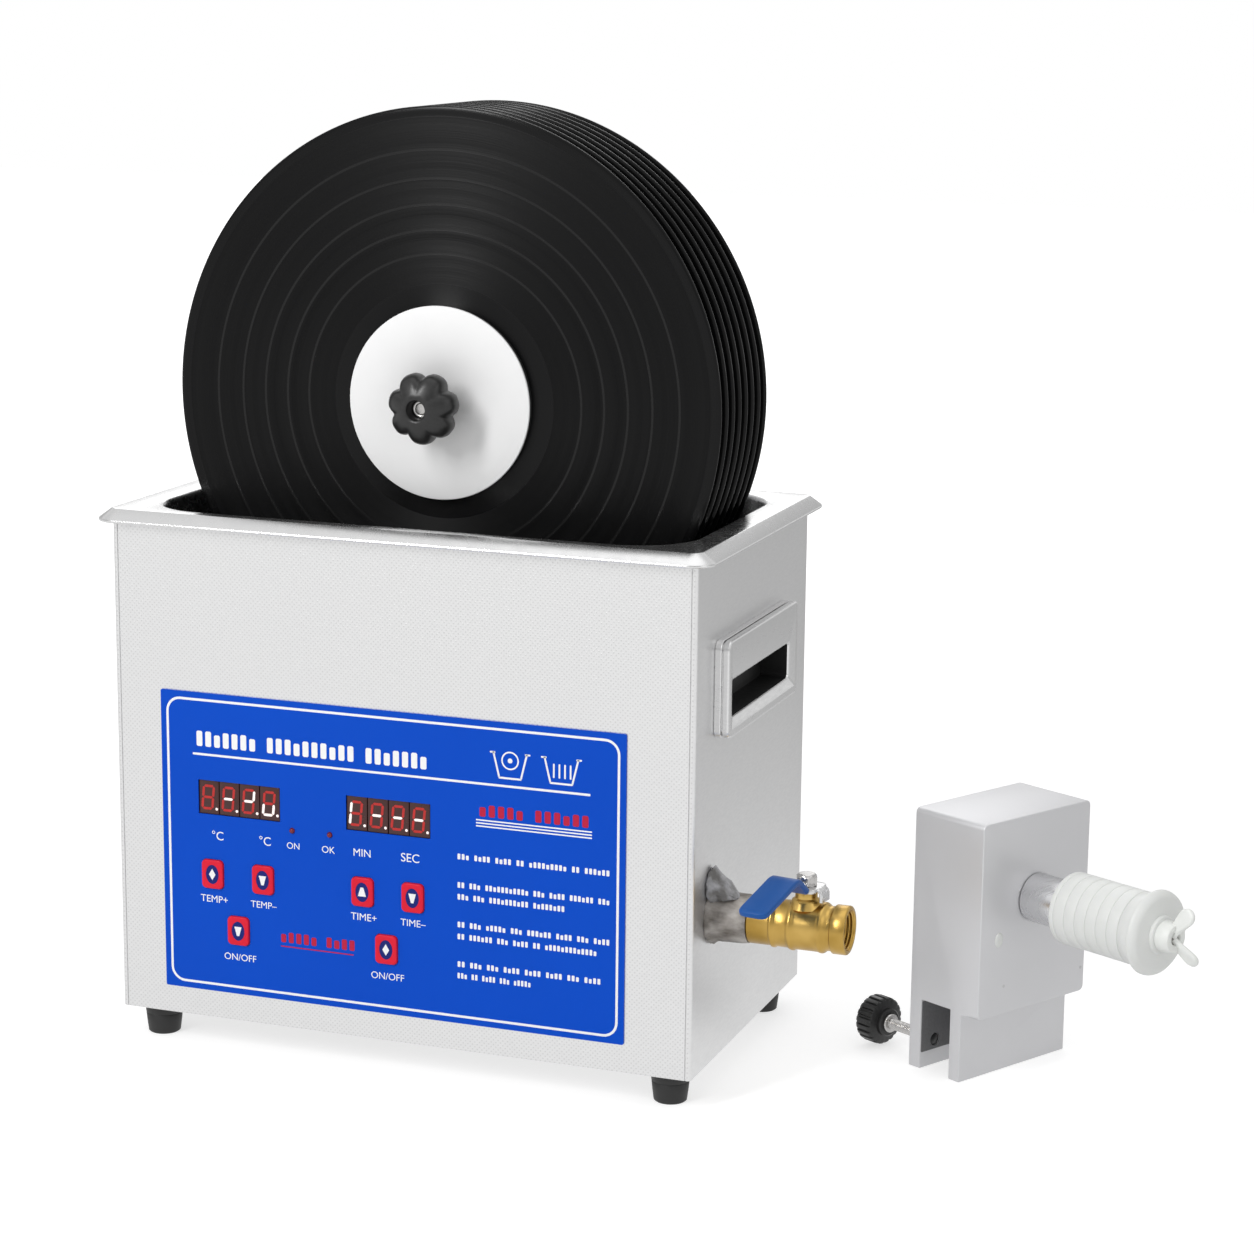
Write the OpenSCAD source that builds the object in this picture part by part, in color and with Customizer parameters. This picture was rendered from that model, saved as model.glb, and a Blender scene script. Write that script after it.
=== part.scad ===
// Record cleaning machine: a heated ultrasonic bath, a drive clamped on its back rim that
// turns a stack of records through the liquid, and a second drive standing beside the bath.
// X runs along the front from left to right, Y to the back and Z up. The origin lies on the
// table, midway between the four feet.

/* [Casing] */
// Width of the casing along the front
casing_w = 322; // [318:1:330]
// Depth of the casing, front to back
casing_d = 186; // [184:1:194]
// Height of the casing's sheet, from its lower edge to the rim
casing_h = 270; // [266:1:280]
// Thickness of the casing and tank sheet
sheet = 1; // [0.8:0.1:1.2]
// Height of the rubber feet
foot_h = 17; // [14:1:20]
// Distance of each foot's axis from the casing's outside
foot_inset = 16; // [14:1:24]

/* [Tank] */
// Length of the bath inside
tank_w = 295; // [285:1:297]
// Depth of the bath inside, front to back
tank_d = 170; // [160:1:170]
// Height of the bath from its floor to the top of the rim
tank_depth = 135; // [128:1:135]
// Radius of the bath's upright corners
tank_r = 32; // [24:1:40]

/* [Control panel] */
// Width of the blue panel
panel_w = 259.5; // [250:0.5:270]
// Height of the blue panel
panel_h = 162; // [155:1:166]
// Middle of the panel along the front
panel_x = -4.5; // [-8:0.5:0]
// Height of the panel's middle above the table
panel_z = 113; // [108:1:116]
// Travel of each key
key_travel = 0.6; // [0.3:0.1:0.6]

/* [Drain valve] */
// Position of the drain line along the depth
drain_y = -62; // [-66:1:-50]
// Height of the drain line above the table
drain_z = 96; // [90:1:110]
// Radius of the bore through the drain pipe and the ball
drain_bore = 7; // [6:0.5:7.5]
// Length of the lever from the stem to its tip
lever_len = 60; // [50:1:66]

/* [Records] */
// Radius of a twelve-inch record
record_r = 150.5; // [150:0.1:151]
// Thickness of a record at its label and its edge
record_t = 2.4; // [1.8:0.1:2.8]
// Number of records on the spindle
record_count = 8; // [4:1:8]
// Length of one spacer between two records
spacer_t = 8.2; // [7:0.1:8.2]

/* [Drive] */
// Length of the drive housing along the rim
drive_w = 82; // [76:1:90]
// Height of the drive housing above the rim
drive_h = 103; // [98:1:110]
// Height of the spindle above the rim
shaft_up = 58; // [54:1:60]
// Length of each clamp leg below the rim
leg_h = 38; // [34:1:42]
// Width of the slot that straddles the rim
slot_w = 20.5; // [19.5:0.5:22]
// Length of one white spacer on the standing drive
spare_spacer_t = 7; // [6.5:0.1:8.2]
// Length of the collar on the drive's shaft
collar_len = 25.1; // [20:0.1:26]
// Turn of the standing drive about the upright axis
spare_turn = 61; // [55:1:67]

/* [Hidden] */
$fn = 48;
slack = 0.05;

casing_z = foot_h;
rim_z = casing_z + casing_h + sheet;
floor_z = rim_z - tank_depth;
front_y = -casing_d / 2;
back_y = casing_d / 2;
side_x = casing_w / 2;
casing_r = 2;
base_t = 1.2;

lip_r = 3;
bend_r = 12;
rim_w = casing_w + 2;
rim_d = casing_d + 2;
rim_r = 5;
bevel_out = 6.2;
bevel_down = 5;
bead_r = 1.1;

foot_x = side_x - foot_inset;
foot_y = back_y - foot_inset;

panel_t = 0.8;
panel_face = front_y - panel_t;
display_w = 47;
display_h = 18;
display_z = 138;
display_xs = [-89.5, -4.5];
lamp_z = 125;
lamp_xs = [-59, -37.5];
lamp_r = 1.5;
key_w = 12.4;
key_h = 15.6;
key_r = 2.5;
key_gap = 0.25;
key_row_z = 96.5;
key_low_z = 67;
key_xs = [-105.3, -76, -90.7, -18.9, 9.4, -5.6];
key_zs = [key_row_z, key_row_z, key_low_z, key_row_z, key_row_z, key_low_z];
board_face = front_y + 9;
board_t = 1.6;
board_x = -45;
board_z = 100;
board_w = 156;
board_h = 100;
stud_spots = [for (sx = [-1, 1], sz = [-1, 1]) [board_x + sx * 72, board_z + sz * 44]];

handle_y = -7;
handle_z = 213.5;
handle_w = 117;
handle_h = 50;
handle_out = 8;
grip_w = 96;
grip_h = 19;
grip_z = 207.5;
cup_deep = 10.4;

drain_x = 118;
pipe_r = 9;
nipple_x = side_x;
nipple_len = 21;
valve_x = nipple_x + nipple_len;
valve_len = 51.5;
outlet_r = 10;
outlet_deep = 10;
ball_x = valve_x + 28.5;
ball_r = 9.6;
stem_r = 3;
lever_z = drain_z + 20.4;
lever_swing = 10;
tab_w = 9;

inlet_x = -100;
inlet_z = 76;
inlet_w = 44;
inlet_h = 56;
rocker_z = inlet_z + 15;
rocker_r = 9.6;
rocker_w = 19.4;
rocker_tilt = 8;

transducer_xs = [-88, 0, 88];
gen_z = 27;

leg_out = 8;
leg_in = 7.5;
overhang = 12;
drive_back = slot_w / 2 + leg_out;
drive_front = -(slot_w / 2 + leg_in + overhang);
wall = 3;
shaft_r = 5;
rod_r = 3.5;
collar_gap = 0.4;
collar_y = drive_front - collar_gap - collar_len;
flange_t = 3;
spacer_r = 19;
pitch = spacer_t + record_t;
stack_y = collar_y - flange_t;
stack_end = stack_y - record_count * record_t - (record_count - 1) * spacer_t;
gasket_t = 4;
disc_t = 1.5;
disc_r = 50;
knob_y = stack_end - gasket_t - disc_t - 0.1;
knob_hub = 14;
knob_t = 16;
knob_r = 18.6;
spare_spacers = 6;
cap_y = stack_y - spare_spacers * spare_spacer_t;
cap_neck = 8;
cap_t = 13;
cap_r = 22;
cap_boss = 2;
wing_y = cap_y - cap_t - cap_boss - 0.1;
wing_t = 7.5;

clamp_x = -30;
clamp_z = -24;
clamp_r = 3;
tip_r = 3.2;
tip_t = 3;
grip_knob_y = 32.8;
clamp_knob_r = 12.8;
rim_tip = -(slot_w / 2) + 8.35;
spare_tip = slot_w / 2;

rim_drive_x = 3.3;
rim_drive_y = tank_d / 2 - 0.3 + slot_w / 2;
spare_x = 280.9;
spare_y = 45.1;

// A rectangle with round corners, centred
module rounded(w, d, r) {
    square([w - 2 * r, d], center = true);
    square([w, d - 2 * r], center = true);
    for (sx = [-1, 1], sy = [-1, 1])
        translate([sx * (w / 2 - r), sy * (d / 2 - r)]) circle(r);
}

// Carries a profile round a rounded rectangle whose corner centres are at cx and cy.
// The profile's x is the distance outwards from those centres and its y is the height.
module carried(cx, cy) {
    for (a = [0 : 90 : 270]) {
        across = a % 180 == 0 ? cx : cy;
        along = a % 180 == 0 ? cy : cx;
        rotate([0, 0, a]) {
            translate([across, along, 0]) rotate_extrude(angle = 90) children();
            translate([across, 0, 0]) rotate([90, 0, 0])
                linear_extrude(2 * along, center = true) children();
        }
    }
}

// A quarter of a ring about the origin, in the quadrant that sx and sy name
module quarter_ring(r_in, r_out, sx, sy) {
    intersection() {
        difference() {
            circle(r_out);
            circle(r_in);
        }
        translate([sx > 0 ? 0 : -r_out, sy > 0 ? 0 : -r_out]) square(r_out);
    }
}

// Stands a flat outline up on the front face: its x stays x and its y becomes z.
// It reaches from y0 to y1.
module upright(y0, y1) {
    translate([0, y1, 0]) rotate([90, 0, 0]) linear_extrude(y1 - y0) children();
}

// A round bar along X, along Y
module bar_x(r, x0, x1) {
    translate([x0, 0, 0]) rotate([0, 90, 0]) cylinder(r = r, h = x1 - x0);
}

module bar_y(r, y0, y1) {
    translate([0, y1, 0]) rotate([90, 0, 0]) cylinder(r = r, h = y1 - y0);
}

// Turns a profile about the X axis or the Y axis: its x is the radius, its y lies along the axis
module turned_x() {
    rotate([0, 90, 0]) rotate([0, 0, 90]) rotate_extrude() children();
}

module turned_y() {
    rotate([-90, 0, 0]) rotate_extrude() children();
}

module at_feet() {
    for (sx = [-1, 1], sy = [-1, 1]) translate([sx * foot_x, sy * foot_y, 0]) children();
}

// Openings in the front sheet for the displays, lamps and keys
module front_windows(y0, y1) {
    upright(y0, y1) {
        for (x = display_xs)
            translate([x, display_z]) square([display_w + 0.4, display_h + 0.4], center = true);
        for (x = lamp_xs) translate([x, lamp_z]) circle(lamp_r + 0.1);
        for (i = [0 : len(key_xs) - 1])
            translate([key_xs[i], key_zs[i]])
                rounded(key_w + 2 * key_gap, key_h + 2 * key_gap, key_r + key_gap);
    }
}

module casing_wrap() color("gainsboro") {
    difference() {
        translate([0, 0, casing_z]) linear_extrude(casing_h) difference() {
            rounded(casing_w, casing_d, casing_r);
            rounded(casing_w - 2 * sheet, casing_d - 2 * sheet, casing_r - sheet);
        }
        front_windows(front_y - 1, front_y + 2);
        for (s = [-1, 1]) translate([s * side_x, handle_y, grip_z])
            cube([6, grip_w + 6.4, grip_h + 6.4], center = true);
        translate([0, drain_y, drain_z]) bar_x(12.4, side_x - 3, side_x + 3);
        translate([inlet_x, back_y, inlet_z]) cube([inlet_w, 6, inlet_h], center = true);
    }
    // Welded studs that carry the control board
    for (p = stud_spots) translate([p[0], 0, p[1]]) {
        bar_y(3, front_y + sheet, board_face);
        bar_y(1.5, board_face, board_face + 4);
    }
}

module base_plate() color("silver") {
    difference() {
        translate([0, 0, casing_z]) linear_extrude(base_t)
            rounded(casing_w - 2 * sheet, casing_d - 2 * sheet, casing_r - sheet);
        at_feet() translate([0, 0, casing_z - 1]) cylinder(r = 2.6, h = 4);
        // Rows of vent slots under the electronics
        for (x = [-60 : 15 : 60]) translate([x - 3, -20, casing_z - 1]) cube([6, 50, 4]);
    }
    for (sx = [-1, 1], sy = [-1, 1]) translate([sx * 74, 15 + sy * 49, 0]) {
        translate([0, 0, casing_z + base_t]) cylinder(r = 3, h = gen_z - casing_z - base_t);
        translate([0, 0, gen_z]) cylinder(r = 1.4, h = 4);
    }
}

module rubber_feet() color([0.07, 0.07, 0.07])
    at_feet() difference() {
        cylinder(r1 = 8.6, r2 = 10.6, h = foot_h);
        translate([0, 0, -1]) cylinder(r = 5.2, h = 9);
        cylinder(r = 2.6, h = foot_h + 1);
    }

module foot_screws() color("silver")
    at_feet() {
        translate([0, 0, 5]) cylinder(r = 4.6, h = 3);
        translate([0, 0, 7]) cylinder(r = 2.5, h = casing_z + base_t);
        translate([0, 0, casing_z + base_t]) cylinder(r = 4.6, h = 4, $fn = 6);
    }

// Deep-drawn bath with its flat rim, turned-down edge and rolled bead
module tank_basin() color("silver")
    difference() {
        union() {
            translate([0, 0, floor_z + bend_r])
                linear_extrude(tank_depth - bend_r - lip_r) difference() {
                    rounded(tank_w + 2 * sheet, tank_d + 2 * sheet, tank_r + sheet);
                    rounded(tank_w, tank_d, tank_r);
                }
            carried(tank_w / 2 - tank_r, tank_d / 2 - tank_r) {
                translate([tank_r + lip_r, rim_z - lip_r])
                    quarter_ring(lip_r - sheet, lip_r, -1, 1);
            }
            carried(tank_w / 2 - tank_r, tank_d / 2 - tank_r) {
                translate([tank_r - bend_r, floor_z + bend_r])
                    quarter_ring(bend_r, bend_r + sheet, 1, -1);
            }
            translate([0, 0, floor_z - sheet]) linear_extrude(sheet)
                rounded(tank_w - 2 * bend_r, tank_d - 2 * bend_r, tank_r - bend_r);
            translate([0, 0, rim_z - sheet]) linear_extrude(sheet) difference() {
                rounded(rim_w, rim_d, rim_r);
                rounded(tank_w + 2 * lip_r, tank_d + 2 * lip_r, tank_r + lip_r);
            }
            carried(rim_w / 2 - rim_r, rim_d / 2 - rim_r) {
                polygon([
                    [rim_r, rim_z], [rim_r, rim_z - sheet],
                    [rim_r + bevel_out - 0.9, rim_z - bevel_down - 0.6],
                    [rim_r + bevel_out, rim_z - bevel_down]
                ]);
                translate([rim_r + bevel_out, rim_z - bevel_down - 0.6]) circle(bead_r);
            }
        }
        translate([drain_x, drain_y, floor_z - 3]) cylinder(r = drain_bore, h = 6);
    }

// Pressed hand grip in the side sheet: a raised frame with a closed pocket behind it
module hand_grip() {
    difference() {
        union() {
            translate([side_x, handle_y, handle_z]) rotate([90, 0, 90])
                linear_extrude(handle_out) rounded(handle_w, handle_h, 5);
            translate([side_x - cup_deep, handle_y, grip_z]) rotate([90, 0, 90])
                linear_extrude(cup_deep + handle_out - 1) rounded(grip_w + 6, grip_h + 6, 4);
        }
        // Hollow behind the frame's face, round the pocket
        translate([side_x - 1, handle_y, handle_z]) rotate([90, 0, 90])
            linear_extrude(handle_out - 2) difference() {
                rounded(handle_w - 4, handle_h - 4, 3.5);
                translate([0, grip_z - handle_z]) rounded(grip_w + 6, grip_h + 6, 4);
            }
        // Pocket for the fingers
        translate([side_x - cup_deep + 1.2, handle_y, grip_z]) rotate([90, 0, 90])
            linear_extrude(cup_deep + handle_out) rounded(grip_w, grip_h, 3);
        // Dished face that falls towards the pocket
        hull() {
            translate([side_x + handle_out + 0.01, handle_y, handle_z])
                cube([0.01, handle_w - 9, handle_h - 9], center = true);
            translate([side_x + handle_out - 1.6, handle_y, grip_z])
                cube([0.01, grip_w, grip_h], center = true);
        }
        // Seam between the frame's two pressed layers
        translate([side_x + 3.6, handle_y, handle_z]) rotate([90, 0, 90])
            linear_extrude(0.9) difference() {
                rounded(handle_w + 4, handle_h + 4, 7);
                rounded(handle_w - 1.4, handle_h - 1.4, 4.3);
            }
    }
}

module right_handle() color("silver") hand_grip();

module left_handle() color("silver") mirror([1, 0, 0]) hand_grip();

module front_panel() color([0.02, 0.25, 0.84])
    difference() {
        translate([panel_x, 0, panel_z]) upright(panel_face, front_y)
            rounded(panel_w, panel_h, 1);
        front_windows(panel_face - 1, front_y + 1);
    }

// Four-digit module, its face just behind the panel's
module digits(x) color([0.35, 0.05, 0.04])
    translate([x, 0, display_z]) {
        upright(front_y - 0.3, board_face) square([display_w, display_h], center = true);
    }

module temperature_display() digits(display_xs[0]);

module timer_display() digits(display_xs[1]);

module status_lamps() color([0.5, 0.05, 0.05])
    for (x = lamp_xs) translate([x, 0, lamp_z]) {
        bar_y(lamp_r, panel_face, board_face);
        translate([0, panel_face, 0]) sphere(lamp_r);
    }

// One key: a cap through the panel, a lip behind the sheet and a foot over its switch
module key(i) color([0.85, 0.05, 0.12])
    translate([key_xs[i], 0, key_zs[i]]) {
        upright(panel_face - 1.4, front_y + sheet + 0.1) rounded(key_w, key_h, key_r);
        upright(front_y + sheet + 0.1, front_y + sheet + 1.1)
            rounded(key_w + 2, key_h + 2, key_r + 1);
        bar_y(2.5, front_y + sheet + 1.1, front_y + sheet + 1.6);
    }

module control_board() color([0.05, 0.35, 0.15]) {
    difference() {
        translate([board_x, 0, board_z]) upright(board_face, board_face + board_t)
            square([board_w, board_h], center = true);
        for (p = stud_spots) translate([p[0], 0, p[1]])
            bar_y(1.55, board_face - 1, board_face + 3);
    }
    // Push switches under the keys, each with its plunger
    for (i = [0 : len(key_xs) - 1]) translate([key_xs[i], 0, key_zs[i]]) {
        upright(board_face - 4, board_face) square(6, center = true);
        bar_y(1.75, board_face - 5.6, board_face - 4);
    }
    // Controller chip, relays and cable sockets on the rear
    parts_back = board_face + board_t;
    for (b = [[-45, 80, 22, 12, 3], [-100, 72, 18, 15, 14], [-76, 72, 18, 15, 14],
              [10, 75, 20, 8, 8], [10, 120, 14, 8, 8], [-95, 125, 24, 10, 8]])
        translate([b[0], 0, b[1]]) upright(parts_back, parts_back + b[4])
            square([b[2], b[3]], center = true);
}

module at_transducers() {
    for (x = transducer_xs) translate([x, 0, floor_z - sheet]) children();
}

module transducer_heads() color("silver")
    at_transducers() difference() {
        translate([0, 0, -22]) cylinder(r1 = 19, r2 = 22.5, h = 22);
        translate([0, 0, -23]) cylinder(r = 4.05, h = 16);
    }

module transducer_ceramics() color([0.35, 0.33, 0.3])
    at_transducers() for (i = [0, 1]) translate([0, 0, -28 - i * 6.5]) difference() {
        cylinder(r = 19, h = 6);
        translate([0, 0, -1]) cylinder(r = 6, h = 8);
    }

module transducer_tails() color("gray")
    at_transducers() difference() {
        translate([0, 0, -56.5]) cylinder(r = 19, h = 22);
        translate([0, 0, -57.5]) cylinder(r = 4.3, h = 24);
    }

module transducer_bolts() color("dimgray")
    at_transducers() {
        translate([0, 0, -57]) cylinder(r = 4, h = 48);
        translate([0, 0, -62.5]) cylinder(r = 6.5, h = 6, $fn = 6);
    }

module tank_heater() color([0.75, 0.4, 0.15])
    translate([0, tank_d / 2 + sheet, 195]) {
        translate([-110, 0, -28]) cube([220, 1.5, 56]);
        translate([-12, 1.5, -8]) cube([24, 2, 16]);
    }

module generator_board() color([0.1, 0.3, 0.15]) {
    difference() {
        translate([0, 15, gen_z]) linear_extrude(board_t) square([162, 110], center = true);
        for (sx = [-1, 1], sy = [-1, 1]) translate([sx * 74, 15 + sy * 49, gen_z - 1])
            cylinder(r = 1.45, h = 4);
    }
    top = gen_z + board_t;
    // Output transformer, smoothing capacitors, tuning coil and relay
    translate([-40, 20, top]) cube([34, 30, 26], center = false);
    for (y = [-15, 5]) translate([-50, y - 5, top]) cylinder(r = 8, h = 24);
    translate([-15, -12, top]) difference() {
        cylinder(r = 15, h = 12);
        translate([0, 0, -1]) cylinder(r = 7, h = 14);
    }
    translate([52, -20, top]) cube([19, 15, 16]);
}

module heat_sink() color("darkgray")
    translate([12, 8, gen_z + board_t]) {
        cube([50, 40, 4]);
        for (i = [0 : 6]) translate([i * 7.9, 0, 4]) cube([2.6, 40, 18]);
    }

// Waste from the tank's floor, a bend and a run out to the casing's side
module drain_pipe() color("silver")
    difference() {
        union() {
            translate([drain_x, drain_y, floor_z - sheet - 4]) cylinder(r = 14, h = 4);
            translate([drain_x, drain_y, drain_z])
                cylinder(r = pipe_r, h = floor_z - sheet - 4 - drain_z);
            translate([drain_x, drain_y, drain_z]) sphere(pipe_r);
            translate([0, drain_y, drain_z]) bar_x(pipe_r, drain_x, nipple_x - 2);
        }
        translate([drain_x, drain_y, drain_z]) {
            cylinder(r = drain_bore, h = 80);
            sphere(drain_bore);
        }
        translate([0, drain_y, drain_z]) bar_x(drain_bore, drain_x, nipple_x);
    }

module drain_nipple() color([0.55, 0.5, 0.46])
    translate([nipple_x, drain_y, drain_z]) difference() {
        turned_x() polygon([
            [drain_bore, -8], [12.3, -8], [12.3, 0], [14.6, 0], [14.6, 3], [12.9, 4],
            [12.9, nipple_len - 1], [12.3, nipple_len], [10, nipple_len],
            [10, nipple_len + 8], [drain_bore, nipple_len + 8]
        ]);
        bar_x(pipe_r + slack, -9, -2);
    }

// Brass body: inlet socket, ball chamber with two seats' steps, outlet socket, stem tower
module valve_body() color([0.72, 0.53, 0.24])
    translate([valve_x, drain_y, drain_z]) difference() {
        union() {
            turned_x() polygon([
                [0, 0], [11.2, 0], [11.9, 0.7], [11.9, 11.8], [12.7, 12.6], [12.7, 14],
                [12, 14.8], [12.1, 21.2], [13.1, 22.2], [13.1, 23.8], [12.4, 24.8],
                [12.5, 36.8], [12.9, 37.6], [12.9, 38.8], [11.6, 40.6], [11.4, 43.2],
                [12.5, 44.2], [12.5, valve_len - 0.7], [11.8, valve_len], [0, valve_len]
            ]);
            translate([ball_x - valve_x, 0, 0]) {
                cylinder(r = 5.6, h = lever_z - 1.3 - drain_z);
                cylinder(r = 7.2, h = 14);
            }
        }
        bar_x(10 + slack, -1, 9);
        bar_x(9.2, 8.9, 28);
        translate([ball_x - valve_x, 0, 0]) sphere(ball_r + 0.35);
        bar_x(9.2, 28, 37.9);
        bar_x(8.2, 37.8, 42);
        bar_x(outlet_r, valve_len - outlet_deep, valve_len + 1);
        translate([ball_x - valve_x, 0, 0]) cylinder(r = stem_r + slack, h = 24);
    }

// Two rings with coned faces that the ball turns against
module valve_seats() color("white")
    for (s = [-1, 1]) translate([ball_x, drain_y, drain_z]) rotate([0, 90 * s, 0])
        rotate_extrude() polygon([
            [8.4, 5.4], [9.15, 5.4], [9.15, 9.2], [drain_bore + 0.4, 9.2],
            [drain_bore + 0.4, 6.6]
        ]);

// Ball with its through way, closed at rest, and the slot that takes the stem's tang
module valve_ball() color("silver")
    translate([ball_x, drain_y, drain_z]) difference() {
        sphere(ball_r);
        bar_y(drain_bore - 0.5, -12, 12);
        translate([-1.6, -12, 6.9]) cube([3.2, 24, 6]);
    }

module valve_stem() color([0.72, 0.53, 0.24])
    translate([ball_x, drain_y, drain_z]) {
        translate([0, 0, ball_r + 0.2])
            cylinder(r = stem_r, h = lever_z + 5 - drain_z - ball_r - 0.2);
        intersection() {
            translate([-1.4, -3, 7.1]) cube([2.8, 6, 4]);
            cylinder(r = stem_r, h = 20);
        }
    }

// Side outline of the lever's arm: distance from the stem, then height of its mid-line
arm_path = [[7, 0], [12, 1], [22.5, 9], [27, 9], [lever_len, 0.5]];
arm_slope = (arm_path[3][1] - arm_path[4][1]) / (arm_path[4][0] - arm_path[3][0]);

// The outline from one of its points on, with its last point drawn back from the tip
function arm_from(first, short) = [for (i = [first : 4])
    i == 4 ? arm_path[4] + short * [-1, arm_slope] : arm_path[i]];

// A strip of the given thickness along part of that outline
module arm_strip(points, t) {
    n = len(points);
    polygon(concat(
        [for (p = points) [p[0], p[1] - t / 2]],
        [for (i = [n - 1 : -1 : 0]) [points[i][0], points[i][1] + t / 2]]
    ));
}

// Lays a side outline along the lever's arm, which points to the front at rest
module along_arm(w) {
    rotate([90, 0, -90]) linear_extrude(w, center = true) children();
}

module at_lever() {
    translate([ball_x, drain_y, lever_z]) rotate([0, 0, -lever_swing]) children();
}

module valve_lever() color("silver")
    at_lever() difference() {
        union() {
            translate([-8, -9, -1]) cube([16, 17, 2]);
            along_arm(12) arm_strip(arm_from(0, 3), 2);
            // Stop tab that curls down beside the tower
            translate([8, 0, -2]) rotate([90, 0, 0]) linear_extrude(tab_w, center = true)
                quarter_ring(1, 3, 1, 1);
            translate([9, -tab_w / 2, -6]) cube([2, tab_w, 4]);
        }
        translate([0, 0, -2]) cylinder(r = stem_r + slack, h = 4);
    }

module lever_sleeve() color([0.05, 0.3, 0.62])
    at_lever() difference() {
        along_arm(16) arm_strip(concat([[13.5, 2.15]], arm_from(2, 0)), 3.4);
        along_arm(12 + 2 * slack) arm_strip(arm_from(1, 2.9), 2 + 2 * slack);
    }

module lever_nut() color("silver")
    at_lever() translate([0, 0, 1]) difference() {
        union() {
            cylinder(r = 5.8, h = 5, $fn = 6);
            translate([0, 0, 5]) cylinder(r1 = 4.8, r2 = 4, h = 1);
        }
        translate([0, 0, -1]) cylinder(r = stem_r + slack, h = 5.5);
    }

// Mains socket and rocker frame in one moulding on the back
module mains_inlet() color([0.06, 0.06, 0.06])
    translate([inlet_x, back_y, inlet_z]) {
        difference() {
            union() {
                upright(0, 2.5) rounded(50, 62, 4);
                upright(-26, 0) square([inlet_w, inlet_h], center = true);
            }
            translate([0, 0, -13]) upright(-18, 4) rounded(24.6, 16.8, 3);
            translate([0, 0, rocker_z - inlet_z]) upright(-14, 4)
                square([rocker_w + 0.4, 2 * rocker_r + 0.4], center = true);
        }
        for (p = [[0, -10.5], [-7, -15], [7, -15]]) translate([p[0], -18, p[1]])
            translate([-2, 0, -0.8]) cube([4, 14, 1.6]);
    }

// Rocker on its cross axis: a round barrel with a shallow two-faced front
module power_rocker() color([0.5, 0.04, 0.04])
    translate([inlet_x, back_y - 2, rocker_z]) rotate([rocker_tilt, 0, 0])
        intersection() {
            bar_x(rocker_r, -rocker_w / 2, rocker_w / 2);
            rotate([90, 0, 90]) linear_extrude(rocker_w, center = true)
                polygon([[-7, -10], [7, -10], [4.6, 0], [7, 10], [-7, 10]]);
        }

// The drive's own frame: x runs along the rim, the spindle points to -y, z = 0 is where
// the slot rests on the rim and y = 0 is the slot's middle.
module at_rim() {
    translate([rim_drive_x, rim_drive_y, rim_z]) children();
}

module at_table() {
    translate([spare_x, spare_y, leg_h]) rotate([0, 0, spare_turn]) children();
}

module on_shaft() {
    translate([0, 0, shaft_up]) children();
}

// Milled clamp block and the box above it, open at the back
module drive_housing() color([0.82, 0.83, 0.85])
    difference() {
        union() {
            translate([-drive_w / 2, drive_front, -1.5])
                cube([drive_w, drive_back - drive_front, drive_h + 1.5]);
            translate([-drive_w / 2, drive_front + overhang, -leg_h])
                cube([drive_w, drive_back - drive_front - overhang, leg_h]);
        }
        translate([-drive_w / 2 + wall, drive_front + wall, 8])
            cube([drive_w - 2 * wall, 100, drive_h - 8 - wall]);
        translate([-drive_w, -slot_w / 2, -leg_h - 1]) cube([2 * drive_w, slot_w, leg_h + 1]);
        on_shaft() bar_y(shaft_r + 0.4, drive_front - 1, drive_front + wall + 1);
        // Threaded hole of the clamp screw, with a wider mouth that takes the pressure pad
        translate([clamp_x, 0, clamp_z]) {
            bar_y(clamp_r + slack, slot_w / 2 - 1, drive_back + 1);
            bar_y(tip_r + 0.3, slot_w / 2 - 1, slot_w / 2 + tip_t + 0.6);
        }
        // Line that marks off the jaw strip on the outer leg
        translate([-drive_w, drive_back - 0.4, -leg_h + 8.4]) cube([2 * drive_w, 1, 0.5]);
    }

module drive_cover() color([0.8, 0.81, 0.83])
    translate([-drive_w / 2 + wall, drive_back - 2, 8])
        cube([drive_w - 2 * wall, 2, drive_h - 8 - wall]);

module gear_motor() color("gray")
    on_shaft() difference() {
        union() {
            bar_y(18.5, drive_front + wall, drive_front + wall + 21);
            bar_y(16, drive_front + wall + 21, drive_back - 3);
            bar_y(2, drive_back - 3, drive_back - 2);
        }
        bar_y(shaft_r + slack, drive_front + wall - 1, drive_front + wall + 16);
    }

// Shaft from the gear head with the thinner rod that carries the stack
module spindle(tip_y) color([0.7, 0.7, 0.72])
    on_shaft() {
        bar_y(shaft_r, collar_y + 13, drive_front + wall + 15.9);
        bar_y(rod_r, tip_y, collar_y + 13);
    }

module output_collar() color([0.85, 0.86, 0.88])
    on_shaft() {
        difference() {
            turned_y() polygon([
                [0, collar_y], [12.2, collar_y], [13, collar_y + 0.8],
                [13, drive_front - collar_gap - 0.8], [12.2, drive_front - collar_gap],
                [0, drive_front - collar_gap]
            ]);
            bar_y(rod_r + 0.03, collar_y - 1, collar_y + 14);
            bar_y(shaft_r + 0.03, collar_y + 12.9, drive_front + 1);
            translate([0, collar_y + 7, 0]) rotate([0, 115, 0]) cylinder(r = 2.2, h = 14);
        }
        // Set screw
        translate([0, collar_y + 7, 0]) rotate([0, 115, 0])
            translate([0, 0, rod_r + 0.1]) cylinder(r = 2.15, h = 8.6);
    }

// One white ring on the rod, its edges broken
module ring(y0, y1, r) {
    turned_y() polygon([
        [rod_r + 0.1, y0], [r - 0.5, y0], [r, y0 + 0.5], [r, y1 - 0.5], [r - 0.5, y1],
        [rod_r + 0.1, y1]
    ]);
}

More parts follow.
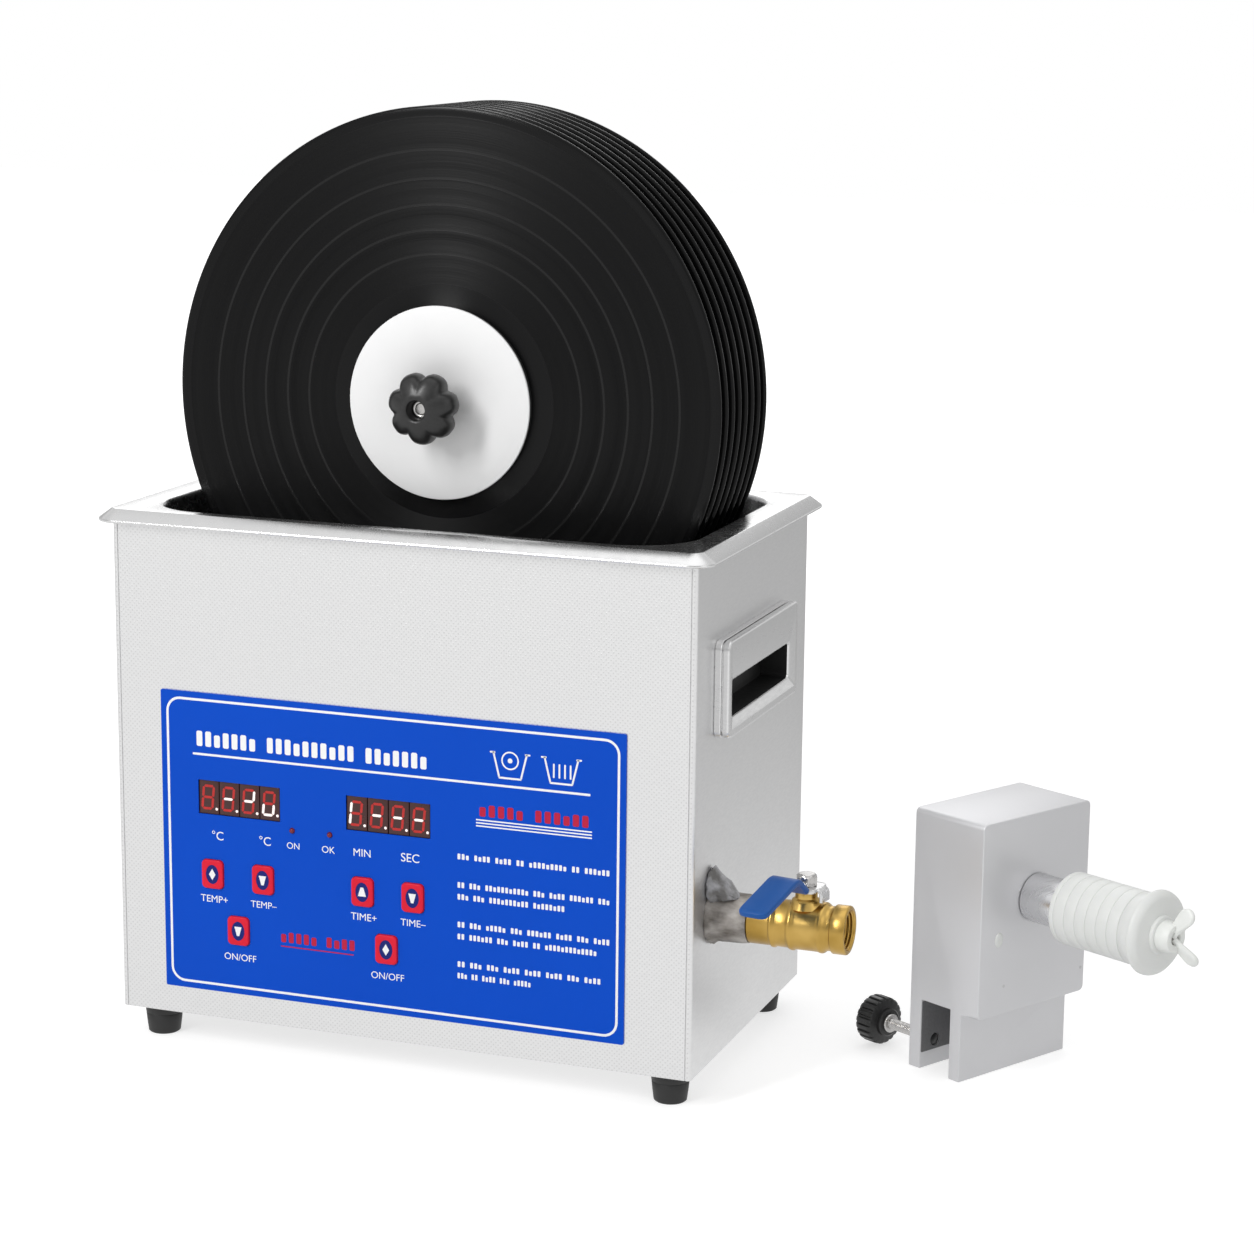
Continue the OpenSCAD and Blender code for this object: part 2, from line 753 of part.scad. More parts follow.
// A flange and a number of rings of length t, which start a step apart
module spacer_set(count, t, step) color([0.93, 0.94, 0.92])
    on_shaft() {
        ring(stack_y, collar_y, spacer_r);
        for (i = [0 : count - 1]) {
            y1 = stack_y - (step - t) - i * step;
            ring(y1 - t, y1, spacer_r);
        }
    }

// Records: raised label and edge, thinner where the grooves are
module records() color([0.03, 0.03, 0.03])
    at_rim() on_shaft() for (i = [0 : record_count - 1])
        translate([0, stack_y - i * pitch - record_t / 2, 0]) turned_y() polygon([
            [rod_r + 0.13, -record_t / 2], [50, -record_t / 2], [51, -0.8], [146.5, -0.8],
            [148.5, -record_t / 2], [record_r - 0.5, -record_t / 2], [record_r, -0.7],
            [record_r, 0.7], [record_r - 0.5, record_t / 2], [148.5, record_t / 2],
            [146.5, 0.8], [51, 0.8], [50, record_t / 2], [rod_r + 0.13, record_t / 2]
        ]);

module label_gasket() color([0.05, 0.05, 0.05])
    at_rim() on_shaft() turned_y() polygon([
        [rod_r + 0.1, stack_end - gasket_t], [disc_r - 0.6, stack_end - gasket_t],
        [disc_r - 0.6, stack_end], [rod_r + 0.1, stack_end]
    ]);

module clamp_disc() color([0.97, 0.97, 0.97])
    at_rim() on_shaft() turned_y() polygon([
        [rod_r + 0.1, stack_end - gasket_t - disc_t],
        [disc_r - 0.5, stack_end - gasket_t - disc_t], [disc_r, stack_end - gasket_t - 1],
        [disc_r, stack_end - gasket_t], [rod_r + 0.1, stack_end - gasket_t]
    ]);

// Seven-lobed outline of the star knob
module star_outline() {
    difference() {
        union() {
            circle(14.6);
            for (i = [0 : 6]) rotate(i * 360 / 7 + 12) translate([14.1, 0]) circle(4.5);
        }
        for (i = [0 : 6]) rotate((i + 0.5) * 360 / 7 + 12) translate([19.2, 0]) circle(4.4);
    }
}

// Star knob: hub towards the disc, lobed grip with a domed front and a deep recess
module star_knob() color([0.03, 0.03, 0.03])
    at_rim() on_shaft() {
        back = knob_y - knob_hub;
        front = back - knob_t;
        difference() {
            union() {
                turned_y() polygon([
                    [0, knob_y], [7.4, knob_y], [8.2, back - 1], [0, back - 1]
                ]);
                intersection() {
                    translate([0, back, 0]) rotate([90, 0, 0])
                        linear_extrude(knob_t) star_outline();
                    turned_y() polygon([
                        [0, back], [knob_r - 1.4, back], [knob_r, back - 1.4],
                        [knob_r, front + 6.4], [knob_r - 1.6, front + 4.2],
                        [14, front + 2], [9.5, front + 0.6], [6, front], [0, front]
                    ]);
                }
            }
            bar_y(rod_r + slack, back - 9, knob_y + 1);
            bar_y(5, front - 1, back - 6.5);
        }
    }

module clamp_tip(y) color([0.2, 0.2, 0.2])
    translate([clamp_x, y, clamp_z]) {
        bar_y(tip_r, 0, tip_t);
        bar_y(1.5, tip_t, tip_t + 4);
    }

module clamp_screw(y) color([0.7, 0.69, 0.66])
    translate([clamp_x, y, clamp_z]) difference() {
        union() {
            bar_y(clamp_r, tip_t + 0.1, grip_knob_y + 9);
            bar_y(4.4, grip_knob_y - 1.2, grip_knob_y);
        }
        bar_y(1.6, 0, tip_t + 5);
    }

// Knurled hand knob: hub, fluted rim and a closed back
module clamp_knob(y) color([0.04, 0.04, 0.04])
    translate([clamp_x, y + grip_knob_y, clamp_z]) difference() {
        union() {
            bar_y(7.6, 0, 3);
            translate([0, 14, 0]) rotate([90, 0, 0]) linear_extrude(11) difference() {
                circle(clamp_knob_r);
                for (a = [0 : 18 : 359]) rotate(a) translate([clamp_knob_r + 0.5, 0])
                    circle(1.3);
            }
        }
        bar_y(clamp_r + 0.03, -1, 9.1);
        bar_y(4.5, 13, 15);
    }

module end_cap() color([0.95, 0.95, 0.94])
    on_shaft() turned_y() polygon([
        [rod_r + 0.1, cap_y], [spacer_r - 0.5, cap_y], [spacer_r, cap_y - 0.5],
        [spacer_r, cap_y - cap_neck + 1], [cap_r, cap_y - cap_neck],
        [cap_r, cap_y - cap_neck - 1.5], [cap_r - 1.2, cap_y - cap_t + 1.6],
        [cap_r - 3, cap_y - cap_t], [10.6, cap_y - cap_t],
        [9.6, cap_y - cap_t - cap_boss], [rod_r + 0.1, cap_y - cap_t - cap_boss]
    ]);

// Wing nut: round hub and two wings that sweep forward
module wing_nut() color([0.94, 0.95, 0.94])
    on_shaft() translate([0, wing_y, 0]) difference() {
        union() {
            turned_y() polygon([[0, 0], [8.2, 0], [7.2, -wing_t], [0, -wing_t]]);
            for (s = [-1, 1]) rotate([0, s > 0 ? 8 : -30, 0]) rotate([s * 38, 0, 0])
                translate([0, -2.2, 0]) {
                    translate([-1.8, -3.6, s > 0 ? 4 : -17]) cube([3.6, 7.2, 13]);
                    translate([-1.8, 0, s * 17]) rotate([0, 90, 0])
                        cylinder(r = 4.6, h = 3.6);
                }
        }
        bar_y(rod_r + slack, -wing_t - 4, 1);
        translate([-12, 0, -12]) cube([24, 20, 24]);
    }

module rim_drive_housing() at_rim() drive_housing();
module rim_drive_cover() at_rim() drive_cover();
module rim_gear_motor() at_rim() gear_motor();
module rim_spindle() at_rim() spindle(knob_y - knob_hub - 8.2);
module rim_collar() at_rim() output_collar();
module record_spacers() at_rim() spacer_set(record_count - 1, spacer_t, pitch);
module rim_clamp_tip() at_rim() clamp_tip(rim_tip);
module rim_clamp_screw() at_rim() clamp_screw(rim_tip);
module rim_clamp_knob() at_rim() clamp_knob(rim_tip);
module spare_drive_housing() at_table() drive_housing();
module spare_drive_cover() at_table() drive_cover();
module spare_gear_motor() at_table() gear_motor();
module spare_spindle() at_table() spindle(wing_y - wing_t + 1.5);
module spare_collar() at_table() output_collar();
module spare_spacers_set() at_table() spacer_set(spare_spacers, spare_spacer_t, spare_spacer_t);
module spare_end_cap() at_table() end_cap();
module spare_wing_nut() at_table() wing_nut();
module spare_clamp_tip() at_table() clamp_tip(spare_tip);
module spare_clamp_screw() at_table() clamp_screw(spare_tip);
module spare_clamp_knob() at_table() clamp_knob(spare_tip);

casing_wrap();
base_plate();
tank_basin();
rubber_feet();
foot_screws();
right_handle();
left_handle();
front_panel();
temperature_display();
timer_display();
status_lamps();
key(0);  // key_heat_up
key(1);  // key_heat_down
key(2);  // key_heat_switch
key(3);  // key_time_up
key(4);  // key_time_down
key(5);  // key_wash_switch
control_board();
transducer_heads();
transducer_ceramics();
transducer_tails();
transducer_bolts();
tank_heater();
generator_board();
heat_sink();
drain_pipe();
drain_nipple();
valve_body();
valve_seats();
valve_ball();
valve_stem();
valve_lever();
lever_sleeve();
lever_nut();
mains_inlet();
power_rocker();
rim_drive_housing();
rim_drive_cover();
rim_gear_motor();
rim_spindle();
rim_collar();
record_spacers();
records();
label_gasket();
clamp_disc();
star_knob();
rim_clamp_tip();
rim_clamp_screw();
rim_clamp_knob();
spare_drive_housing();
spare_drive_cover();
spare_gear_motor();
spare_spindle();
spare_collar();
spare_spacers_set();
spare_end_cap();
spare_wing_nut();
spare_clamp_tip();
spare_clamp_screw();
spare_clamp_knob();
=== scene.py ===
import math

import bmesh
import bpy
from mathutils import Matrix, Vector


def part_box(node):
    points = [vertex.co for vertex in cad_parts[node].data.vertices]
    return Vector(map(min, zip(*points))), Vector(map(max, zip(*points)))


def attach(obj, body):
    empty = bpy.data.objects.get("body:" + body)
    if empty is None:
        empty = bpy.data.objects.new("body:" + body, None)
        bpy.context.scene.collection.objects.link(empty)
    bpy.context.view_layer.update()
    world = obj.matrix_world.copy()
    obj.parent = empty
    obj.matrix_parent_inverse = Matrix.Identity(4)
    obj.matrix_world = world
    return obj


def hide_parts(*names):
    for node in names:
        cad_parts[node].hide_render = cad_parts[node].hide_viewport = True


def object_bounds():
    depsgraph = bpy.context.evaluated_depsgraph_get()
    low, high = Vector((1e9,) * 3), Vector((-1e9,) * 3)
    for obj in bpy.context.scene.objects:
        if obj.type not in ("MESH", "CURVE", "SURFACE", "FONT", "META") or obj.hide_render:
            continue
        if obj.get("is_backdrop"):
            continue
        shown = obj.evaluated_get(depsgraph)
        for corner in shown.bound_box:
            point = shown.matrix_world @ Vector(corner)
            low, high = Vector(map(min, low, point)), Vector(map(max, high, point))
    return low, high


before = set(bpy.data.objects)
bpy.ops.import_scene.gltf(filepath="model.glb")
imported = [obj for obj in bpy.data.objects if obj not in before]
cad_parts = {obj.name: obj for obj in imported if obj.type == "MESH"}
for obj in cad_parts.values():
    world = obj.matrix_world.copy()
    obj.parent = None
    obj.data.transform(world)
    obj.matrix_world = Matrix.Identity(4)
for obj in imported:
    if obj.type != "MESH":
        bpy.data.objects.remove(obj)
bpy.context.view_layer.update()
scene = bpy.context.scene

# Camera
# It stands right of the machine's middle and a little above it, turned slightly in the hand,
# with a long lens, as the photograph was taken.
AZIMUTH = math.radians(19.86)
ELEVATION = math.radians(12.02)
ROLL = math.radians(0.62)
DISTANCE = 1.637
AIM = Vector((0.0909, 0.0, 0.2272))
LENS = 89.6

back = Vector((
    math.sin(AZIMUTH) * math.cos(ELEVATION),
    -math.cos(AZIMUTH) * math.cos(ELEVATION),
    math.sin(ELEVATION),
))
level = Vector((math.cos(AZIMUTH), math.sin(AZIMUTH), 0))
rise = back.cross(level)
across = level * math.cos(ROLL) + rise * math.sin(ROLL)
upward = rise * math.cos(ROLL) - level * math.sin(ROLL)
lens = bpy.data.cameras.new("camera")
lens.lens = LENS
lens.sensor_width = 36
lens.clip_end = 20
camera = bpy.data.objects.new("camera", lens)
scene.collection.objects.link(camera)
turned = Matrix((across, upward, back)).transposed().to_4x4()
camera.matrix_world = Matrix.Translation(AIM + back * DISTANCE) @ turned
scene.camera = camera

# Studio
# A white sweep and soft lamps. The floor adds its own white towards the lens, more of it far
# off, so that it stays white round the object's shadow. In reflections the sweep darkens
# behind the object, and the room darkens above the camera, which gives the metals contrast.
FLOOR_SIZE = 12
FLOOR_GLOW = 0.62
WORLD_LIGHT = 0.62
LAMPS = {
    # name: (place, width, height, watts)
    "key": ((-0.8, -1.9, 1.6), 0.4, 1.3, 28),
    "side": ((2.3, -0.7, 1.3), 1.4, 1.4, 4),
    "top": ((0.1, 0.3, 2.4), 1.6, 1.6, 4),
    "rear": ((-0.8, 2.2, 1.5), 1.6, 1.6, 10),
}

scene.view_settings.view_transform = "Standard"


def graph(tree, kind, inputs=None, **settings):
    """Adds one node to a shader tree. An input is a value or another node's output socket."""
    made = tree.nodes.new("ShaderNode" + kind)
    for key, value in settings.items():
        setattr(made, key, value)
    for key, value in (inputs or {}).items():
        if isinstance(value, bpy.types.NodeSocket):
            tree.links.new(value, made.inputs[key])
        else:
            made.inputs[key].default_value = value
    return made.outputs[0] if made.outputs else None


def begin(name, add, **settings):
    """Adds one primitive, with nothing else selected, and names it."""
    bpy.ops.object.select_all(action="DESELECT")
    add(**settings)
    piece = bpy.context.object
    piece.name = piece.data.name = name
    return piece


floor = begin("floor", bpy.ops.mesh.primitive_plane_add, size=FLOOR_SIZE)
floor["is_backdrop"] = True
paint = bpy.data.materials.new("floor_white")
paint.use_nodes = True
tree = paint.node_tree
tree.nodes.clear()
ray = tree.nodes.new("ShaderNodeLightPath")
ground = tree.nodes.new("ShaderNodeTexCoord").outputs["Object"]
far = graph(tree, "VectorMath", {0: ground}, operation="LENGTH").node.outputs["Value"]
far = graph(tree, "MapRange", {"Value": far, "From Min": 0.8, "From Max": 2.6,
                               "To Min": FLOOR_GLOW, "To Max": 1.0})
ahead = graph(tree, "SeparateXYZ", {0: ground}).node.outputs["Y"]
ahead = graph(tree, "MapRange", {"Value": ahead, "From Min": -0.2, "From Max": 0.9,
                                 "To Min": 1.0, "To Max": 0.5})
matt = graph(tree, "BsdfDiffuse", {"Color": (0.8, 0.8, 0.8, 1)})
shade = graph(tree, "BsdfDiffuse", {"Color": (0.56, 0.56, 0.56, 1)})
glow = graph(tree, "Emission", {"Color": (1, 1, 1, 1), "Strength": far})
shown = graph(tree, "AddShader", {0: shade, 1: glow})
mirrored = graph(tree, "Emission", {"Color": (1, 1, 1, 1), "Strength": ahead})
surface = graph(tree, "MixShader", {0: ray.outputs["Is Glossy Ray"], 1: matt, 2: mirrored})
seen = graph(tree, "Math", {0: ray.outputs["Is Camera Ray"],
                            1: ray.outputs["Is Transmission Ray"]}, operation="MAXIMUM")
surface = graph(tree, "MixShader", {0: seen, 1: surface, 2: shown})
graph(tree, "OutputMaterial", {"Surface": surface})
floor.data.materials.append(paint)

world = bpy.data.worlds.new("studio")
world.use_nodes = True
scene.world = world
tree = world.node_tree
tree.nodes.clear()
ray = tree.nodes.new("ShaderNodeLightPath")
place = graph(tree, "SeparateXYZ", {0: tree.nodes.new("ShaderNodeTexCoord").outputs["Generated"]})
height = graph(tree, "Math", {0: place.node.outputs["Z"], 1: 0.5, 2: 0.5},
               operation="MULTIPLY_ADD")
sweep = graph(tree, "ValToRGB", {"Fac": height})
ramp = sweep.node.color_ramp
ramp.elements[0].position, ramp.elements[0].color = 0.5, (0.95, 0.95, 0.95, 1)
ramp.elements[1].position, ramp.elements[1].color = 0.97, (1, 1, 1, 1)
for spot, tone in ((0.57, 0.62), (0.66, 0.45), (0.74, 0.9), (0.86, 0.75)):
    ramp.elements.new(spot).color = (tone, tone, tone, 1)
white = graph(tree, "Background", {"Color": (1, 1, 1, 1), "Strength": 1.0})
mirrored = graph(tree, "Background", {"Color": sweep, "Strength": 1.0})
soft = graph(tree, "Background", {"Color": (1, 1, 1, 1), "Strength": WORLD_LIGHT})
glossy = graph(tree, "Math", {0: ray.outputs["Is Glossy Ray"],
                              1: ray.outputs["Is Transmission Ray"]}, operation="MAXIMUM")
lit = graph(tree, "MixShader", {0: glossy, 1: soft, 2: mirrored})
lit = graph(tree, "MixShader", {0: ray.outputs["Is Camera Ray"], 1: lit, 2: white})
graph(tree, "OutputWorld", {"Surface": lit})

for name, (spot, width, height, watts) in LAMPS.items():
    lamp = bpy.data.lights.new(name, "AREA")
    lamp.shape = "RECTANGLE"
    lamp.size, lamp.size_y = width, height
    lamp.energy = watts
    holder = bpy.data.objects.new(name, lamp)
    holder.location = spot
    aim = Vector(spot) - Vector((0.05, 0, 0.2))
    holder.rotation_euler = aim.to_track_quat("Z", "Y").to_euler()
    holder.visible_camera = False
    scene.collection.objects.link(holder)

# Casing
# Brushed stainless sheet, one millimetre thick, folded round the tank. The front sheet is let
# in between the side sheets' bends, which leaves a fine seam beside each front corner.
MM = 0.001
SHEET = 1.0
BEND = 2.0
SEAM_FROM_CORNER = 2.7
SEAM_WIDE, SEAM_DEEP = 0.55, 0.6
DISPLAY_X = (-89.5, -4.5)
DISPLAY_Z = 138
DISPLAY_SIZE = (47, 18)
LAMP_X = (-59, -37.5)
LAMP_Z = 125
KEYS = {
    # name: (x, z, mark)
    "heat_up": (-105.3, 96.5, "diamond"),
    "heat_down": (-76, 96.5, "down"),
    "heat_switch": (-90.7, 67, "down"),
    "time_up": (-18.9, 96.5, "up"),
    "time_down": (9.4, 96.5, "down"),
    "wash_switch": (-5.6, 67, "diamond"),
}
GRIP_Y, GRIP_Z = -7, 207.5
DRAIN_Y, DRAIN_Z = -62, 96
INLET_X, INLET_Z = -100, 76


def rounded(width, height, radius, steps=6, centre=(0, 0)):
    """Outline of a rectangle with round corners, anticlockwise from the lower right."""
    points = []
    for corner, (sx, sy) in enumerate([(1, -1), (1, 1), (-1, 1), (-1, -1)]):
        for step in range(steps + 1):
            angle = math.radians(90 * (corner - 1 + step / steps))
            points.append((centre[0] + sx * (width / 2 - radius) + radius * math.cos(angle),
                           centre[1] + sy * (height / 2 - radius) + radius * math.sin(angle)))
    return points


def across_axis(outline, axis, at):
    """Sets an outline in the plane across an axis: its two numbers are the other two axes."""
    where = {"x": lambda u, v: (at, u, v), "y": lambda u, v: (u, at, v),
             "z": lambda u, v: (u, v, at)}[axis]
    return [where(u, v) for u, v in outline]


def loft(name, rings, join=False):
    """Draws a skin through rings of points in millimetres: a circle is added, then extruded
    and moved ring by ring. join closes the last ring on the first, or else both are filled."""
    piece = begin(name, bpy.ops.mesh.primitive_circle_add, vertices=len(rings[0]), radius=1)
    bpy.ops.object.mode_set(mode="EDIT")
    mesh = bmesh.from_edit_mesh(piece.data)
    number = mesh.verts.layers.int.new("number")
    for i, vertex in enumerate(mesh.verts):
        vertex[number] = i
        vertex.co = Vector(rings[0][i]) * MM
    for ring in rings[1:]:
        bmesh.update_edit_mesh(piece.data)
        bpy.ops.mesh.extrude_region()
        mesh = bmesh.from_edit_mesh(piece.data)
        number = mesh.verts.layers.int["number"]
        for vertex in mesh.verts:
            if vertex.select:
                vertex.co = Vector(ring[vertex[number]]) * MM
    bmesh.update_edit_mesh(piece.data)
    bpy.ops.mesh.select_all(action="DESELECT")
    bpy.ops.mesh.select_non_manifold()
    if join:
        bpy.ops.mesh.bridge_edge_loops()
    else:
        bpy.ops.mesh.fill_holes(sides=0)
    bpy.ops.mesh.select_all(action="SELECT")
    bpy.ops.mesh.remove_doubles(threshold=1e-6)
    bpy.ops.mesh.normals_make_consistent(inside=False)
    bpy.ops.object.mode_set(mode="OBJECT")
    piece.data.attributes.remove(piece.data.attributes["number"])
    return piece


def layers(name, axis, *levels, join=False):
    """A loft through (outline, position) pairs along an axis."""
    return loft(name, [across_axis(outline, axis, at) for outline, at in levels], join)


def slab(name, axis, outline, start, end):
    """One outline carried straight along an axis."""
    return layers(name, axis, (outline, start), (outline, end))


def only(piece):
    """Selects one piece and nothing else."""
    bpy.ops.object.select_all(action="DESELECT")
    piece.select_set(True)
    bpy.context.view_layer.objects.active = piece


def joined(name, pieces):
    """Joins pieces into one."""
    only(pieces[0])
    for piece in pieces[1:]:
        piece.select_set(True)
    if len(pieces) > 1:
        bpy.ops.object.join()
    pieces[0].name = pieces[0].data.name = name
    return pieces[0]


def cut(piece, *tools):
    """Takes the tools' shapes out of a piece."""
    tool = joined("opening", tools)
    only(piece)
    opening = piece.modifiers.new("opening", "BOOLEAN")
    opening.solver = "EXACT"
    opening.object = tool
    bpy.ops.object.modifier_apply(modifier="opening")
    bpy.data.objects.remove(tool)
    return piece


def smooth(piece, angle=35, edge=0.0, steps=2):
    """Breaks the sharp edges with a small bevel and shades the rest smoothly."""
    only(piece)
    if edge:
        rounding = piece.modifiers.new("broken_edges", "BEVEL")
        rounding.width = edge * MM
        rounding.segments = steps
        rounding.limit_method = "ANGLE"
        rounding.angle_limit = math.radians(angle)
        bpy.ops.object.modifier_apply(modifier="broken_edges")
    bpy.ops.object.shade_smooth_by_angle(angle=math.radians(angle))
    return piece


def fit(piece, body, slot, finish, *stands_for):
    """Gives a piece its finish, the body that carries it and the nodes that it stands for."""
    if finish.name not in piece.data.materials:
        piece.data.materials.append(finish)
    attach(piece, body)
    if stands_for:
        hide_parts(*stands_for)
    return piece


def finish_of(name, colour, roughness, metallic=0.0, **sockets):
    """A new material with one Principled shader. Returns it, its tree and the shader."""
    made = bpy.data.materials.new(name)
    made.use_nodes = True
    shader = made.node_tree.nodes["Principled BSDF"]
    shader.inputs["Base Color"].default_value = (*colour, 1)
    shader.inputs["Roughness"].default_value = roughness
    shader.inputs["Metallic"].default_value = metallic
    for key, value in sockets.items():
        shader.inputs[key.replace("_", " ")].default_value = value
    return made, made.node_tree, shader


def from_object(tree, centre=(0, 0, 0), stretch=(1, 1, 1)):
    """Object coordinates counted from a centre, and stretched."""
    where = tree.nodes.new("ShaderNodeTexCoord").outputs["Object"]
    moved = tuple(-c * s for c, s in zip(centre, stretch))
    return graph(tree, "Mapping", {"Vector": where, "Location": moved, "Scale": stretch})


def noise(tree, scale, detail=3.0, stretch=(1, 1, 1)):
    """Fractal noise on Object coordinates."""
    return graph(tree, "TexNoise", {"Vector": from_object(tree, stretch=stretch),
                                    "Scale": scale, "Detail": detail})


def between(tree, factor, low, high):
    """A colour between two, by a factor."""
    return graph(tree, "Mix", {0: factor, 6: (*low, 1), 7: (*high, 1)},
                 data_type="RGBA").node.outputs[2]


def spread(tree, value, low, high, start=0.0, end=1.0):
    """Maps a range of a value onto another range."""
    return graph(tree, "MapRange", {"Value": value, "From Min": start, "From Max": end,
                                    "To Min": low, "To Max": high})


def bump(tree, height, strength, depth):
    """A relief of the given depth in millimetres."""
    return graph(tree, "Bump", {"Height": height, "Strength": strength,
                                "Distance": depth * MM})


def wear(tree, shader, **sockets):
    """Links outputs to the shader's sockets."""
    for key, value in sockets.items():
        tree.links.new(value, shader.inputs[key.replace("_", " ")])


def steel(name, tone, roughness, stretch):
    """Brushed sheet: streaks along the rolling direction over a slow change of tone."""
    made, tree, shader = finish_of(name, (tone, tone, tone), roughness, 1.0)
    streak = noise(tree, 1.0, 4.0, stretch)
    cloud = noise(tree, 14.0, 2.0)
    mixed = graph(tree, "Math", {0: spread(tree, streak, 0, 0.75, 0.25, 0.75),
                                 1: spread(tree, cloud, 0, 0.25, 0.25, 0.75)}, operation="ADD")
    dark, light = tone * 0.96, tone * 1.03
    wear(tree, shader, Roughness=spread(tree, mixed, roughness + 0.06, roughness - 0.05),
         Base_Color=between(tree, mixed, (dark, dark, dark * 1.005), (light, light, light)),
         Normal=bump(tree, streak, 0.12, 0.05))
    return made, tree, shader


def speckled(name, colour, roughness, scale, dark, light, rough=None, relief=None, **sockets):
    """A moulded or coated finish: one fine noise changes its colour, gloss and surface."""
    made, tree, shader = finish_of(name, colour, roughness, **sockets)
    speck = noise(tree, scale)
    wear(tree, shader, Base_Color=between(tree, speck, dark, light))
    if rough:
        wear(tree, shader, Roughness=spread(tree, speck, *rough))
    if relief:
        wear(tree, shader, Normal=bump(tree, speck, *relief))
    return made


low, high = (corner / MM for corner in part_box("casing_wrap"))
casing_steel, tree, shader = steel("casing_steel", 0.78, 0.38, (240, 240, 900))
# A faint grid of pressed dots on the front sheet
DOT_PITCH = 2.6
DOT_TONE = 0.56
where = from_object(tree).node.inputs["Vector"].links[0].from_socket
place = graph(tree, "SeparateXYZ", {0: where})
waves = []
for axis in ("X", "Z"):
    turnings = graph(tree, "Math", {0: place.node.outputs[axis], 1: 2 * math.pi / DOT_PITCH / MM},
                     operation="MULTIPLY")
    waves.append(graph(tree, "Math", {0: turnings}, operation="SINE"))
dots = graph(tree, "Math", {0: waves[0], 1: waves[1]}, operation="MULTIPLY")
dots = spread(tree, dots, 0, 1, 0.35, 0.8)
at_front = graph(tree, "Math", {0: place.node.outputs["Y"], 1: (low.y + 0.3) * MM},
                 operation="LESS_THAN")
dots = graph(tree, "Math", {0: dots, 1: at_front}, operation="MULTIPLY")
relief = shader.inputs["Normal"].links[0].from_node
pressed = bump(tree, dots, 0.35, 0.12)
tree.links.new(relief.outputs[0], pressed.node.inputs["Normal"])
plain = shader.inputs["Base Color"].links[0].from_socket
dotted = graph(tree, "Mix", {0: spread(tree, dots, 0, 0.55), 6: plain,
                             7: (DOT_TONE, DOT_TONE, DOT_TONE, 1)},
               data_type="RGBA").node.outputs[2]
wear(tree, shader, Normal=pressed, Base_Color=dotted)


def casing_outline(inset, seam):
    """The casing seen from above, with a groove of the given depth at each front seam."""
    corners = rounded(high.x - low.x - 2 * inset, high.y - low.y - 2 * inset, BEND - inset)
    side = high.x - SEAM_FROM_CORNER
    y = low.y + inset
    grooves = [(side - SEAM_WIDE, y), (side - SEAM_WIDE, y + seam), (side, y + seam), (side, y)]
    return [(-x, y) for x, y in reversed(grooves)] + grooves + corners


casing = layers(
    "casing", "z", (casing_outline(0, SEAM_DEEP), low.z), (casing_outline(0, SEAM_DEEP), high.z),
    (casing_outline(SHEET, 0), high.z), (casing_outline(SHEET, 0), low.z), join=True)
smooth(casing, 30, 0.12, 1)
windows = [(x, DISPLAY_Z, DISPLAY_SIZE[0] + 0.4, DISPLAY_SIZE[1] + 0.4, 0.3) for x in DISPLAY_X]
windows += [(x, LAMP_Z, 3.2, 3.2, 1.59) for x in LAMP_X]
windows += [(x, z, 12.9, 16.1, 2.75) for x, z, mark in KEYS.values()]
tools = [slab("window", "y", rounded(wide, tall, radius, 4, (x, z)), low.y - 1, low.y + 2)
         for x, z, wide, tall, radius in windows]
inlet = rounded(44, 56, 0.5, 2, (INLET_X, INLET_Z))
tools.append(slab("window", "y", inlet, high.y - 2, high.y + 1))
grip = rounded(102.4, 25.4, 0.5, 2, (GRIP_Y, GRIP_Z))
drain = rounded(24.8, 24.8, 12.39, 8, (DRAIN_Y, DRAIN_Z))
for outline, start in ((grip, high.x - 2), (grip, low.x - 1), (drain, high.x - 2)):
    tools.append(slab("window", "x", outline, start, start + 3))
cut(casing, *tools)
smooth(casing, 30)
fit(casing, "machine", "casing_steel", casing_steel, "casing_wrap")


# Base plate
# A galvanised plate closes the casing underneath. It carries the generator board on four
# posts and is held by the screws of the feet.
def dress(node, finish):
    """Gives a node of the frame its finish."""
    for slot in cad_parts[node].material_slots:
        slot.material = finish


plate_steel, tree, shader = steel("plate_steel", 0.5, 0.38, (300, 300, 300))
spangle = graph(tree, "TexVoronoi", {"Vector": from_object(tree), "Scale": 120.0})
wear(tree, shader, Roughness=spread(tree, spangle, 0.28, 0.5))
dress("base_plate", plate_steel)

# Feet
# Four black rubber cones with a hollow for the screw's head. The zinc-plated screws go up
# through the base plate into hexagon nuts.
FOOT_SIDES = 64
rubber = speckled("foot_rubber", (0.012, 0.012, 0.012), 0.55, 900, (0.008, 0.008, 0.008),
                  (0.02, 0.02, 0.02), (0.42, 0.66), (0.3, 0.1))


def around(sides, height, reach):
    """A level ring about Z. reach gives the radius at an angle."""
    angles = [2 * math.pi * i / sides for i in range(sides)]
    return [(reach(a) * math.cos(a), reach(a) * math.sin(a), height) for a in angles]


def turn(name, outline, sides=64):
    """Turns a closed outline of (radius, height) points about Z."""
    return loft(name, [around(sides, h, lambda a, r=r: r) for r, h in outline], join=True)


def stand(piece, place, *turns):
    """Sets a finished shape in its place, in millimetres, and keeps the place in its mesh."""
    only(piece)
    matrix = Matrix.Translation(Vector(place) * MM)
    for angle, axis in turns:
        matrix = matrix @ Matrix.Rotation(math.radians(angle), 4, axis)
    piece.matrix_world = matrix @ piece.matrix_world
    bpy.ops.object.transform_apply()
    return piece


def copy_of(piece, name):
    """A copy with a mesh of its own."""
    other = piece.copy()
    other.data = piece.data.copy()
    other.name = other.data.name = name
    scene.collection.objects.link(other)
    return other


